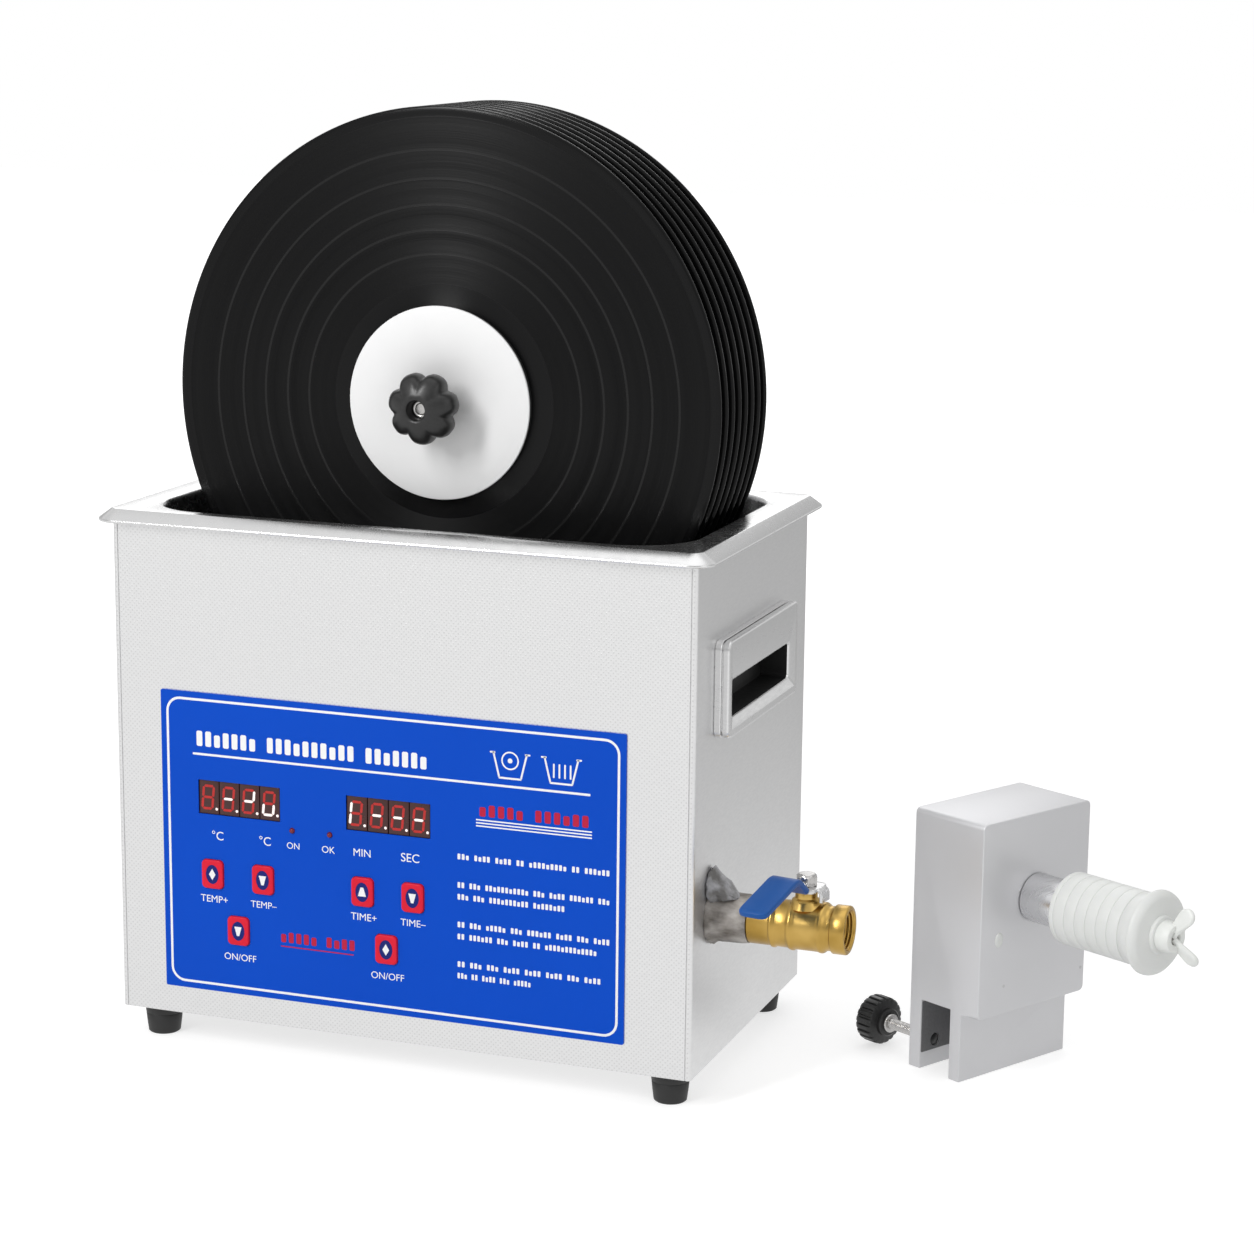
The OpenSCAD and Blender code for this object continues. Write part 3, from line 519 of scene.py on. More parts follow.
low, high = (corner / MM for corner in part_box("rubber_feet"))
foot = turn("foot", [
    (5.4, 0), (7.9, 0), (8.6, 0.6), (9.3, 6), (9.75, 10.4), (9.5, 10.8), (9.85, 11.2),
    (10.4, high.z - 1), (10.2, high.z), (2.7, high.z), (2.7, 8), (5.2, 8), (5.2, 0.4)],
    FOOT_SIDES)
smooth(foot, 40)
foot_x, foot_y = high.x - 10.6, high.y - 10.6
for i, (x, y) in enumerate([(-foot_x, -foot_y), (foot_x, -foot_y), (-foot_x, foot_y),
                            (foot_x, foot_y)]):
    one = foot if i == 3 else copy_of(foot, f"foot_{i + 1}")
    fit(stand(one, (x, y, 0)), "machine", "foot_rubber", rubber, "rubber_feet")
plain_steel, tree, shader = steel("plain_steel", 0.55, 0.3, (500, 500, 500))
dress("foot_screws", plain_steel)

# Bath
# Deep-drawn stainless basin: bent floor edges, a rolled lip, a flat rim, and a turned-down
# edge that ends in a rolled bead over the casing.
BATH = (295, 170)
BATH_CORNER = 32
FLOOR_Z, RIM_Z = 153, 288
FLOOR_BEND, LIP = 12, 3
RIM = (324, 188)
RIM_CORNER = 5
EDGE_OUT, EDGE_DOWN = 6.2, 5
BEAD = 1.1
tank_steel, tree, shader = steel("tank_steel", 0.72, 0.26, (120, 120, 120))


def bath_ring(out, z):
    """A level outline of the basin's wall, moved outwards."""
    return across_axis(rounded(BATH[0] + 2 * out, BATH[1] + 2 * out, BATH_CORNER + out, 12),
                       "z", z)


def rim_ring(out, z):
    return across_axis(rounded(RIM[0] + 2 * out, RIM[1] + 2 * out, RIM_CORNER + out, 12), "z", z)


def arc(first, last, steps):
    return [math.radians(first + (last - first) * i / steps) for i in range(steps + 1)]


bend_z = FLOOR_Z + FLOOR_BEND
rings = [bath_ring(-FLOOR_BEND + FLOOR_BEND * math.sin(a), bend_z - FLOOR_BEND * math.cos(a))
         for a in arc(0, 90, 6)]
rings += [bath_ring(LIP - LIP * math.cos(a), RIM_Z - LIP + LIP * math.sin(a))
          for a in arc(0, 90, 4)]
rings += [rim_ring(0, RIM_Z), rim_ring(0.6, RIM_Z - 0.15)]
bead_z = RIM_Z - EDGE_DOWN - 0.6
rings += [rim_ring(EDGE_OUT + BEAD * math.cos(a), bead_z + BEAD * math.sin(a))
          for a in arc(60, -200, 9)]
rings += [rim_ring(0.3, RIM_Z - SHEET - 0.2), rim_ring(0, RIM_Z - SHEET)]
rings += [bath_ring(LIP - (LIP - SHEET) * math.cos(a), RIM_Z - LIP + (LIP - SHEET) * math.sin(a))
          for a in arc(90, 0, 4)]
wall_out = FLOOR_BEND + SHEET
rings += [bath_ring(-FLOOR_BEND + wall_out * math.sin(a), bend_z - wall_out * math.cos(a))
          for a in arc(90, 0, 6)]
basin = loft("basin", rings)
waste = rounded(14, 14, 6.99, 8, (118, DRAIN_Y))
cut(basin, slab("waste", "z", waste, FLOOR_Z - 3, FLOOR_Z + 3))
smooth(basin, 28)
fit(basin, "machine", "tank_steel", tank_steel, "tank_basin")

# Hand grips
# Pressed stainless frames, let into each side sheet. Two layers are folded together round
# the edge, and the face is dished towards a pocket for the fingers.
GRIP_FACE = (117, 50)
GRIP_FACE_Z = 213.5
GRIP_POCKET = (96, 19)
side_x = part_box("casing_wrap")[1].x / MM
handle_steel, tree, shader = steel("handle_steel", 0.74, 0.24, (150, 150, 700))
# The pocket's inside faces are painted near black: painted shade standing in for the dark hollow.
pocket_painted_shade = speckled("pocket_painted_shade", (0.006, 0.006, 0.006), 0.5, 300, (0.004, 0.004, 0.004),
                        (0.01, 0.01, 0.01), (0.42, 0.6))


def frame_ring(inset, radius, x):
    return across_axis(rounded(GRIP_FACE[0] - 2 * inset, GRIP_FACE[1] - 2 * inset, radius, 12,
                               (GRIP_Y, GRIP_FACE_Z)), "x", x)


def pocket_ring(grow, radius, x):
    return across_axis(rounded(GRIP_POCKET[0] + 2 * grow, GRIP_POCKET[1] + 2 * grow, radius, 12,
                               (GRIP_Y, GRIP_Z)), "x", x)


handle = loft("right_hand_grip", [ring(grow, radius, side_x + out) for ring, grow, radius, out in [
    # the pocket's outside, the two folded layers of the frame, and the dished face
    (pocket_ring, 3, 4, -10.4), (pocket_ring, 3, 4, -0.2), (frame_ring, 0.4, 4.6, 0),
    (frame_ring, 0, 5, 0.4), (frame_ring, 0, 5, 3.2), (frame_ring, 0.3, 4.7, 3.6),
    (frame_ring, 1.6, 4, 3.7), (frame_ring, 1.6, 4, 4.4), (frame_ring, 0.3, 4.7, 4.5),
    (frame_ring, 0, 5, 4.9), (frame_ring, 0, 5, 7.0), (frame_ring, 0.3, 4.7, 7.7),
    (frame_ring, 1, 4.2, 8), (frame_ring, 4.2, 1.2, 8), (pocket_ring, 1.0, 1.4, 6.5),
    (pocket_ring, 0.3, 2.2, 6.1), (pocket_ring, 0, 2.6, 5.4), (pocket_ring, 0, 2.6, -9.2)]])
smooth(handle, 9)
handle.data.materials.append(handle_steel)
handle.data.materials.append(pocket_painted_shade)
# Faces inside the pocket take the near-black painted shade.
for face in handle.data.polygons:
    x, y, z = face.center / MM
    face.material_index = int(x < side_x + 5.6 and abs(y - GRIP_Y) < 48.2
                              and abs(z - GRIP_Z) < 9.7)
other = copy_of(handle, "left_hand_grip")
stand(other, (0, 2 * GRIP_Y, 0), (180, "Z"))
fit(handle, "machine", "handle_steel", handle_steel, "right_handle")
fit(other, "machine", "handle_steel", handle_steel, "left_handle")

# Control panel
# A blue printed overlay on the front sheet. Its print is white and red: a border, rules, rows
# of upright dashes, two small tanks, and the labels of the displays, lamps and keys.
PANEL_FACE = -93.8
INK = 0.06
PANEL = (259.5, 162)
PANEL_MIDDLE = (-4.5, 113)
panel_blue, tree, shader = finish_of("panel_blue", (0.0, 0.075, 0.6), 0.4,
                                     Specular_IOR_Level=0.12)
film = noise(tree, 500, 2.0)
wear(tree, shader, Roughness=spread(tree, film, 0.34, 0.46),
     Base_Color=between(tree, noise(tree, 9), (0.0, 0.062, 0.5), (0.0, 0.074, 0.57)),
     Normal=bump(tree, film, 0.15, 0.05))
dress("front_panel", panel_blue)


def ink(name, colour):
    thin = tuple(c * 0.93 for c in colour)
    return speckled(name, colour, 0.45, 700, thin, colour, (0.38, 0.52),
                    Specular_IOR_Level=0.25)


white_ink = ink("white_ink", (0.92, 0.92, 0.92))
red_ink = ink("red_ink", (0.5, 0.01, 0.05))
printed = {"white": [], "red": []}


def printing(colour, *outlines):
    """Prints one outline, or the band between two, on the panel."""
    levels = [(outlines[0], PANEL_FACE), (outlines[0], PANEL_FACE - INK)]
    if len(outlines) == 2:
        levels += [(outlines[1], PANEL_FACE - INK), (outlines[1], PANEL_FACE)]
    printed[colour].append(layers("print", "y", *levels, join=len(levels) == 4))


def bar(colour, left, right, middle, thick):
    printing(colour, rounded(right - left, thick, min(0.35, thick * 0.4), 2,
                             ((left + right) / 2, middle)))


def dash_rows(colour, left, right, middle, tall, lengths):
    """A line of upright dashes, in groups of the given lengths with a gap between them."""
    pitch = (right - left) / (sum(lengths) + len(lengths) - 1)
    x = left
    for length in lengths:
        for i in range(length):
            low_part = (i * 5 + length) % 4 == 1
            top = middle + tall / 2 - (0.2 * tall if low_part else 0)
            bottom = middle - tall / 2
            printing(colour, rounded(pitch * 0.66, top - bottom, pitch * 0.12, 1,
                                     (x + pitch / 2, (top + bottom) / 2)))
            x += pitch
        x += pitch


def label(words, left, bottom, wide):
    """Prints a label, scaled to its width."""
    piece = begin("label", bpy.ops.object.text_add)
    piece.data.body = words
    piece.data.extrude = INK / 2 * MM
    bpy.ops.object.convert(target="MESH")
    xs = [v.co.x for v in piece.data.vertices]
    size = wide * MM / (max(xs) - min(xs))
    for vertex in piece.data.vertices:
        x, y, z = vertex.co
        vertex.co = ((x - min(xs)) * size + left * MM, (PANEL_FACE - INK / 2) * MM - z,
                     y * size + bottom * MM)
    bpy.ops.object.mode_set(mode="EDIT")
    bpy.ops.mesh.select_all(action="SELECT")
    bpy.ops.mesh.remove_doubles(threshold=1e-6)
    bpy.ops.mesh.normals_make_consistent(inside=False)
    bpy.ops.object.mode_set(mode="OBJECT")
    printed["white"].append(piece)


printing("white", rounded(PANEL[0] - 6.4, PANEL[1] - 6.4, 8, 8, PANEL_MIDDLE),
         rounded(PANEL[0] - 9.0, PANEL[1] - 9.0, 6.7, 8, PANEL_MIDDLE))
dash_rows("white", -114.5, 18, 169.4, 8.2, (7, 10, 7))
bar("white", -116, 106.3, 161, 1.2)
dash_rows("red", 45.5, 106.3, 146.9, 6.2, (5, 6))
for z in (141.9, 140.3, 138.7):
    bar("white", 44.4, 107.4, z, 0.7)
for right, z, lengths in [
    (117.2, 121.4, (3, 4, 4, 2, 9, 2, 6)), (117.3, 106.3, (2, 3, 11, 3, 4, 6, 3)),
    (93.1, 100, (3, 3, 10, 8)), (117.5, 85.2, (2, 3, 5, 3, 6, 4, 3, 4)),
    (110.6, 78.8, (2, 6, 3, 4, 2, 13)), (112.9, 64, (2, 3, 3, 4, 4, 4, 3, 4)),
    (74.9, 57.8, (3, 2, 4, 3, 5)),
]:
    dash_rows("white", 33.9, right, z, 3.0, lengths)
dash_rows("red", -66.8, -23.1, 66.6, 5.6, (5, 4))
bar("red", -66.3, -24.3, 61.6, 0.6)
for left in (55, 82.7):
    # A small open tank: two sloping sides, a floor, and what it holds
    for side in (-1, 1):
        middle = left + 8
        printing("white", [(middle + side * 8.6, 178.4), (middle + side * 9.6, 178.4),
                           (middle + side * 6.4, 165.4), (middle + side * 5.4, 165.4)][::side])
    bar("white", left + 1.8, left + 14.2, 165.2, 1.0)
    bar("white", left - 3.0, left, 178.2, 0.9)
    bar("white", left + 16.0, left + 19.0, 178.2, 0.9)
printing("white", rounded(9.6, 9.6, 4.79, 6, (63, 174.4)), rounded(8, 8, 3.99, 6, (63, 174.4)))
printing("white", rounded(2.6, 2.6, 1.29, 4, (63, 174.4)))
for i in range(4):
    x = 86.2 + 3 * i
    bar("white", x, x + 0.9, 171.6, 7.4)
for words, left, bottom, wide in [
    ("°C", -105.5, 115.4, 6.6), ("°C", -78.0, 115.4, 6.6), ("ON", -62.1, 115.2, 7.2),
    ("OK", -42.0, 115.2, 7.4), ("MIN", -24.0, 115.4, 9.6), ("SEC", 2.8, 115.4, 10.2),
    ("TEMP+", -112.8, 81.0, 15.8), ("TEMP–", -83.5, 81.0, 15.0), ("TIME+", -25.8, 81.0, 14.6),
    ("TIME–", 2.4, 81.0, 14.0), ("ON/OFF", -99.4, 50.6, 18.6), ("ON/OFF", -14.4, 50.6, 18.6),
]:
    label(words, left, bottom, wide)
for colour, finish in (("white", white_ink), ("red", red_ink)):
    piece = joined(f"panel_{colour}_print", printed[colour])
    fit(piece, "machine", "panel_blue", finish)

# Displays
# Each is a dark red window over four moulded digits. The segments show red through it, and
# a few of them and the points are painted pale with a faint glow, as painted highlights.
CELL_WIDE = DISPLAY_SIZE[0] / 4
DISPLAY_FACE = -93.3
BOARD_FACE = -84
SEGMENT = 1.35
DIGIT = (5.8, 12.2)
SLANT = 0.09
PAINTED_HIGHLIGHTS = {0: ((), (6,), (1, 6), (2, 3, 4)), 1: ((4, 5), (6,), (6,), (6,))}
window_red = speckled("display_window", (0.045, 0.008, 0.007), 0.25, 120, (0.035, 0.006, 0.005),
                      (0.06, 0.011, 0.01), (0.2, 0.32))
segment_red = speckled("segment_red", (0.5, 0.01, 0.008), 0.35, 400, (0.38, 0.008, 0.006),
                       (0.6, 0.014, 0.01))
# Painted highlight: a pale colour and a faint glow stand in for light catching these segments and
# points.
segment_painted_highlight = speckled("segment_painted_highlight", (0.95, 0.85, 0.8), 0.3, 400, (0.9, 0.74, 0.7),
                       (1.0, 0.95, 0.92), Emission_Color=(1, 0.85, 0.8, 1),
                       Emission_Strength=0.25)


def stroke(x, z, length, upright):
    """Outline of one segment with pointed ends."""
    half, tip = length / 2, SEGMENT / 2
    points = [(-half, 0), (-half + tip, -tip), (half - tip, -tip), (half, 0), (half - tip, tip),
              (-half + tip, tip)]
    if upright:
        points = [(-v, u) for u, v in points]
    return [(x + u + SLANT * v, z + v) for u, v in points]


wide, tall = DIGIT
STROKES = [(0, tall / 2, wide, False), (wide / 2, tall / 4, tall / 2, True),
           (wide / 2, -tall / 4, tall / 2, True), (0, -tall / 2, wide, False),
           (-wide / 2, -tall / 4, tall / 2, True), (-wide / 2, tall / 4, tall / 2, True),
           (0, 0, wide, False)]
for number, x in enumerate(DISPLAY_X):
    name = ("temperature", "timer")[number]
    cells, dull, lit = [], [], []
    for i in range(4):
        cell_x = x + (i - 1.5) * CELL_WIDE
        face = rounded(CELL_WIDE - 0.5, DISPLAY_SIZE[1], 0.3, 2, (cell_x, DISPLAY_Z))
        cells.append(smooth(slab("cell", "y", face, BOARD_FACE, DISPLAY_FACE), 30, 0.2, 2))
        cells[-1].data.materials.append(window_red)
        middle = cell_x - 0.6
        for k, (u, v, length, upright) in enumerate(STROKES):
            outline = stroke(middle + u + SLANT * v, DISPLAY_Z + v, length - 0.4, upright)
            (lit if k in PAINTED_HIGHLIGHTS[number][i] else dull).append(
                slab("segment", "y", outline, DISPLAY_FACE, DISPLAY_FACE - 0.05))
        dot = rounded(1.5, 1.5, 0.74, 4, (middle + wide / 2 + 2.0, DISPLAY_Z - tall / 2))
        lit.append(slab("point", "y", dot, DISPLAY_FACE, DISPLAY_FACE - 0.05))
    window = joined(f"{name}_window", cells)
    fit(window, "machine", "display_window", window_red, f"{name}_display")
    fit(joined(f"{name}_digits", dull), "machine", "display_window", segment_red)
    # The _lit pieces are the segments and points with the painted highlights.
    fit(joined(f"{name}_lit", lit), "machine", "display_window", segment_painted_highlight)

# Lamps
# Two small domed indicator lamps of dark red plastic, soldered to the control board.
lamp_red = speckled("lamp_red", (0.16, 0.006, 0.02), 0.16, 500, (0.1, 0.004, 0.01),
                    (0.26, 0.012, 0.03))
for i, x in enumerate(LAMP_X):
    lamp = turn(f"lamp_{i + 1}", [(0.01, BOARD_FACE - PANEL_FACE)] + [
        (1.5, BOARD_FACE - PANEL_FACE), (1.5, 0.1)] + [
        (1.5 * math.cos(a), -1.5 * math.sin(a)) for a in arc(0, 89, 6)], 24)
    stand(lamp, (x, PANEL_FACE, LAMP_Z), (-90, "X"))
    fit(smooth(lamp, 50), "machine", "lamp_red", lamp_red, "status_lamps")

# Keys
# Six moulded red caps that spring on push switches behind the panel. Each has a lip behind
# the sheet, a shallow round-ended dish printed dark blue, and a white mark.
KEY = (12.4, 15.6)
KEY_FACE = -95.2
DISH = (7.4, 10.4)
key_red, tree, shader = finish_of("key_red", (0.72, 0.012, 0.035), 0.34, Specular_IOR_Level=0.2)
satin = noise(tree, 600)
wear(tree, shader, Roughness=spread(tree, satin, 0.27, 0.42),
     Base_Color=between(tree, noise(tree, 60), (0.66, 0.009, 0.028), (0.78, 0.016, 0.045)),
     Normal=bump(tree, satin, 0.12, 0.05))
key_blue = ink("key_blue", (0.004, 0.012, 0.16))
MARKS = {
    "up": [(-2.3, -2.2), (2.3, -2.2), (0.8, 2.6), (-0.8, 2.6)],
    "down": [(-2.1, 2.4), (-0.7, -2.6), (0.7, -2.6), (2.1, 2.4)],
    "diamond": [(0, -3.1), (1.9, 0), (0, 3.1), (-1.9, 0)],
}


def oval(wide, tall, steps=6):
    """An ellipse with as many points as a rounded outline of the same steps."""
    count = 4 * (steps + 1)
    return [(wide / 2 * math.cos(a), tall / 2 * math.sin(a))
            for a in (math.radians(-90 + 360 * (i + 0.5) / count) for i in range(count))]


def cap(grow, radius):
    return rounded(KEY[0] + 2 * grow, KEY[1] + 2 * grow, radius)


for name, (x, z, mark) in KEYS.items():
    key = layers(
        f"key_{name}_cap", "y", (oval(5, 5), -90.4), (oval(5, 5), -90.9), (cap(1, 3.5), -90.9),
        (cap(1, 3.5), -91.9), (cap(0, 2.5), -91.9), (cap(0, 2.5), KEY_FACE + 0.7),
        (cap(-0.2, 2.4), KEY_FACE + 0.22), (cap(-0.65, 2.1), KEY_FACE),
        (cap(-1.1, 1.9), KEY_FACE), (oval(DISH[0] + 0.5, DISH[1] + 0.5), KEY_FACE + 0.08),
        (oval(*DISH), KEY_FACE + 0.3))
    print_blue = slab(f"key_{name}_dish", "y", oval(*DISH), KEY_FACE + 0.3, KEY_FACE + 0.24)
    print_mark = slab(f"key_{name}_mark", "y", MARKS[mark], KEY_FACE + 0.24, KEY_FACE + 0.19)
    for piece, finish, stands_for in ((key, key_red, [f"key_{name}"]), (print_blue, key_blue, []),
                                      (print_mark, white_ink, [])):
        stand(smooth(piece, 30), (x, 0, z))
        fit(piece, f"{name}_key", "key_red", finish, *stands_for)

# Electronics, transducers and heater
# Behind the panel stands the control board with its push switches. Under the bath hang three
# bolted transducers, beside it a heater pad, and on the base the generator and its heat sink.
board_green, tree, shader = finish_of("circuit_board", (0.01, 0.09, 0.03), 0.4)
tracks = graph(tree, "TexVoronoi", {"Vector": from_object(tree), "Scale": 260.0},
               distance="MANHATTAN")
wear(tree, shader, Base_Color=between(tree, spread(tree, tracks, 0, 1, 0.2, 0.6),
                                      (0.005, 0.05, 0.02), (0.02, 0.13, 0.04)))
cast, tree, shader = finish_of("transducer_aluminium", (0.6, 0.6, 0.61), 0.4, 1.0)
pores = noise(tree, 350)
wear(tree, shader, Roughness=spread(tree, pores, 0.32, 0.5), Normal=bump(tree, pores, 0.2, 0.1))
ceramic = speckled("piezo_ceramic", (0.1, 0.09, 0.08), 0.55, 200, (0.08, 0.07, 0.06),
                   (0.16, 0.15, 0.13))
heater, tree, shader = finish_of("heater_pad", (0.4, 0.1, 0.02), 0.6)
weave = graph(tree, "TexWave", {"Vector": from_object(tree), "Scale": 160.0}, bands_direction="Z")
wear(tree, shader, Base_Color=between(tree, weave, (0.3, 0.07, 0.015), (0.5, 0.14, 0.03)))
for finish, nodes in (
    (board_green, ["control_board", "generator_board"]), (ceramic, ["transducer_ceramics"]),
    (cast, ["transducer_heads", "transducer_tails", "heat_sink"]), (heater, ["tank_heater"]),
    (plain_steel, ["transducer_bolts", "drain_pipe"]),
):
    for node in nodes:
        dress(node, finish)

# Drain nipple
# A steel nipple in the side sheet, wound with grey sealing tape. A loose crumpled end of
# clear film stands up from it beside the casing.
TAPE = [(12.3, -8), (12.3, -0.5), (14.2, 0), (14.5, 0.8), (14.3, 2.2), (13.6, 3.6)]
TAPE += [(13.1 - 0.03 * h, h) for h in range(5, 20, 2)]
TAPE += [(12.3, 20.3), (12, 21), (10, 21), (10, 29), (7, 29), (7, -8)]
TAPE_SIDES = 96
NIPPLE_X = 161
taped, tree, shader = finish_of("taped_nipple", (0.3, 0.27, 0.24), 0.42)
# The tape's colour follows the same noise as its creases: painted shade in the hollows and painted
# light on the crests.
folds_and_painted_shade = noise(tree, 160, 5.0, (0.5, 1, 1))
wear(tree, shader, Base_Color=between(tree, spread(tree, folds_and_painted_shade, 0, 1, 0.32, 0.68),
                                      (0.1, 0.085, 0.07), (0.42, 0.39, 0.36)),
     Roughness=spread(tree, folds_and_painted_shade, 0.55, 0.28), Normal=bump(tree, folds_and_painted_shade, 0.7, 0.8))


def creased(radius, height, loose):
    """A ring whose radius wavers with the tape's creases."""
    return around(TAPE_SIDES, height, lambda a: radius + loose * (
        math.sin(5 * a + 1.3 * height) + math.sin(11 * a - 0.9 * height)
        + math.sin(17 * a + 2.1 * height)) / 3)


nipple = loft("taped_nipple", [
    creased(r, h, 0.16 + 0.5 * max(0, 1 - abs(h - 2) / 4) if -0.1 < h < 20.5 and r > 12.1 else 0)
    for r, h in TAPE], join=True)
stand(nipple, (NIPPLE_X, DRAIN_Y, DRAIN_Z), (90, "Y"))
fit(smooth(nipple, 60), "machine", "taped_nipple", taped, "drain_nipple")

FILM = [(0.4, 9.5, 8.5), (2, 10.4, 9.4), (4, 9.6, 8.4), (6.5, 8.4, 7.2), (9, 8.2, 6.2),
        (11.5, 6.4, 4.8), (14, 4.4, 3.2), (16, 1.5, 1)]
film_finish, tree, shader = finish_of("crumpled_film", (0.3, 0.3, 0.3), 0.2)
# The film's colour follows the same noise as its creases: painted shade in the hollows and bluish
# painted highlights on the crests.
creases = noise(tree, 150, 3.0)
wear(tree, shader, Base_Color=between(tree, spread(tree, creases, 0, 1, 0.35, 0.65),
                                      (0.13, 0.125, 0.12), (0.42, 0.42, 0.44)),
     Roughness=spread(tree, creases, 0.14, 0.3), Normal=bump(tree, creases, 0.3, 0.5))
film = loft("loose_tape_film", [
    [((wide + 0.7 * math.sin(4 * a + 0.5 * h) + 0.5 * math.sin(7 * a - 0.4 * h))
      * math.cos(a) * tall / 10 - 17 + 0.35 * h,
      (wide + 0.6 * math.sin(5 * a - 0.4 * h) + 0.4 * math.sin(9 * a + 0.6 * h)) * math.sin(a)
      - 3, h) for a in (2 * math.pi * i / 64 for i in range(64))]
    for h, wide, tall in FILM])
stand(film, (NIPPLE_X, DRAIN_Y, DRAIN_Z), (90, "Y"))
fit(smooth(film, 70), "machine", "taped_nipple", film_finish)

# Drain valve
# A forged brass ball valve with half-inch sockets. The stem's tower stands on the ball's
# chamber, and the outlet shows its inside thread.
VALVE_X = 182
VALVE_LENGTH = 51.5
BALL_X = 210.5
LEVER_Z = 116.4
brass, tree, shader = finish_of("valve_brass", (0.55, 0.35, 0.09), 0.26, 1.0)
forged = noise(tree, 220, 4.0)
stain = noise(tree, 40)
wear(tree, shader, Roughness=spread(tree, forged, 0.22, 0.4),
     Base_Color=between(tree, spread(tree, stain, 0, 1, 0.35, 0.65), (0.44, 0.27, 0.06),
                        (0.62, 0.41, 0.12)), Normal=bump(tree, forged, 0.3, 0.12))
body_outline = [
    (10.05, 0), (11, 0), (11.6, 0.3), (11.9, 0.9), (11.9, 11.6), (12.1, 12.1), (12.6, 12.5),
    (12.75, 13.2), (12.6, 14), (12.1, 14.6), (12, 15.4), (12.1, 20.6), (12.5, 21.4),
    (13.0, 22.1), (13.15, 23), (13.0, 23.8), (12.5, 24.5), (12.4, 25.4), (12.45, 36.2),
    (12.7, 37), (12.95, 37.8), (12.9, 38.8), (12.5, 39.6), (11.8, 40.4), (11.4, 41.2),
    (11.35, 43), (11.6, 43.6), (12.2, 43.9), (12.5, 44.4), (12.5, 50.6), (12.3, 51.1),
    (11.8, VALVE_LENGTH), (10.5, VALVE_LENGTH)]
THREAD_TURNS, THREAD_STEP = 5, 1.8
for i in range(THREAD_TURNS):
    turn_at = VALVE_LENGTH - 0.6 - THREAD_STEP * i
    body_outline += [(10.0, turn_at), (10.0, turn_at - 0.2), (9.4, turn_at - 0.8),
                     (9.4, turn_at - 1.0)]
body_outline += [(9.4, 41.7), (8.2, 41.4), (8.2, 38), (9.2, 37.8), (9.2, 8.95), (10.05, 8.9)]
body = turn("brass_valve_body", body_outline, 128)
stand(body, (VALVE_X, DRAIN_Y, DRAIN_Z), (90, "Y"))
tower = turn("brass_stem_tower", [
    (3.05, 9.9), (9.2, 9.9), (8.4, 11.6), (7.6, 12.9), (7.2, 13.8), (6.3, 14.4), (5.7, 15),
    (5.6, 17.8), (5.3, 18.6), (4.4, 19.1), (3.05, 19.1)], 64)
stand(tower, (BALL_X, DRAIN_Y, DRAIN_Z))
for piece, node in ((body, ["valve_body"]), (tower, [])):
    fit(smooth(piece, 40), "machine", "valve_brass", brass, *node)
nylon = speckled("white_nylon", (0.76, 0.77, 0.755), 0.42, 45, (0.72, 0.735, 0.715),
                 (0.8, 0.81, 0.795), (0.36, 0.5), Subsurface_Weight=0.2,
                 Subsurface_Radius=(0.004, 0.004, 0.0035))
dress("valve_seats", nylon)
bright, tree, shader = finish_of("polished_steel", (0.52, 0.51, 0.5), 0.24, 1.0)
streak = noise(tree, 260, 4.0)
wear(tree, shader, Roughness=spread(tree, streak, 0.14, 0.34),
     Base_Color=between(tree, streak, (0.45, 0.44, 0.43), (0.6, 0.59, 0.58)))
dress("valve_ball", bright)
dress("valve_stem", brass)

# Lever
# A pressed steel lever on the stem, held by a dome nut. Its arm steps up and slopes down
# into a blue vinyl sleeve, and a tab curls down at the other end as the stop.
LEVER_SWING = -10


def strip(name, path, wide, thick, radius):
    """A flat bar with round edges along a path of (distance, height, width share)."""
    rings = []
    for i, (along, up, share) in enumerate(path):
        before, after = path[max(i - 1, 0)], path[min(i + 1, len(path) - 1)]
        slope = math.atan2(after[1] - before[1], after[0] - before[0])
        section = rounded(wide * share, thick * min(1, 0.4 + 0.6 * share),
                          radius * min(1, 0.4 + 0.6 * share), 4)
        rings.append([(u, -(along - v * math.sin(slope)), up + v * math.cos(slope))
                      for u, v in section])
    return loft(name, rings)


def at_lever(piece):
    return stand(piece, (BALL_X, DRAIN_Y, LEVER_Z), (LEVER_SWING, "Z"))


lever_steel, tree, shader = steel("lever_steel", 0.66, 0.26, (400, 400, 400))
hub = slab("lever_hub", "z", rounded(16, 17, 3, 6, (0, -0.5)), -1, 1)
cut(hub, slab("hole", "z", rounded(6.1, 6.1, 3.04, 8), -2, 2))
arm = strip("lever_arm", [(6, 0, 1), (7.5, 0, 1), (10, 0.4, 1), (12.5, 1.3, 1), (15, 3.1, 1),
                          (20.5, 7.5, 1), (22, 8.5, 1), (23.5, 8.9, 1), (26, 8.95, 1),
                          (28, 8.5, 1), (56.5, 1.4, 1)], 12, 1.7, 0.8)
tab = strip("lever_stop", [(6.5, 0, 1), (7.6, 0, 1), (8.6, -0.2, 1), (9.5, -0.9, 1),
                           (9.95, -2, 1), (10, -3.5, 1), (10, -5.9, 1)], 9, 2, 0.9)
stand(tab, (0, 0, 0), (90, "Z"))
for piece, node in ((hub, ["valve_lever"]), (arm, []), (tab, [])):
    at_lever(smooth(piece, 30, 0.25 if piece is hub else 0, 2))
    fit(piece, "drain_handle", "polished_steel", lever_steel, *node)

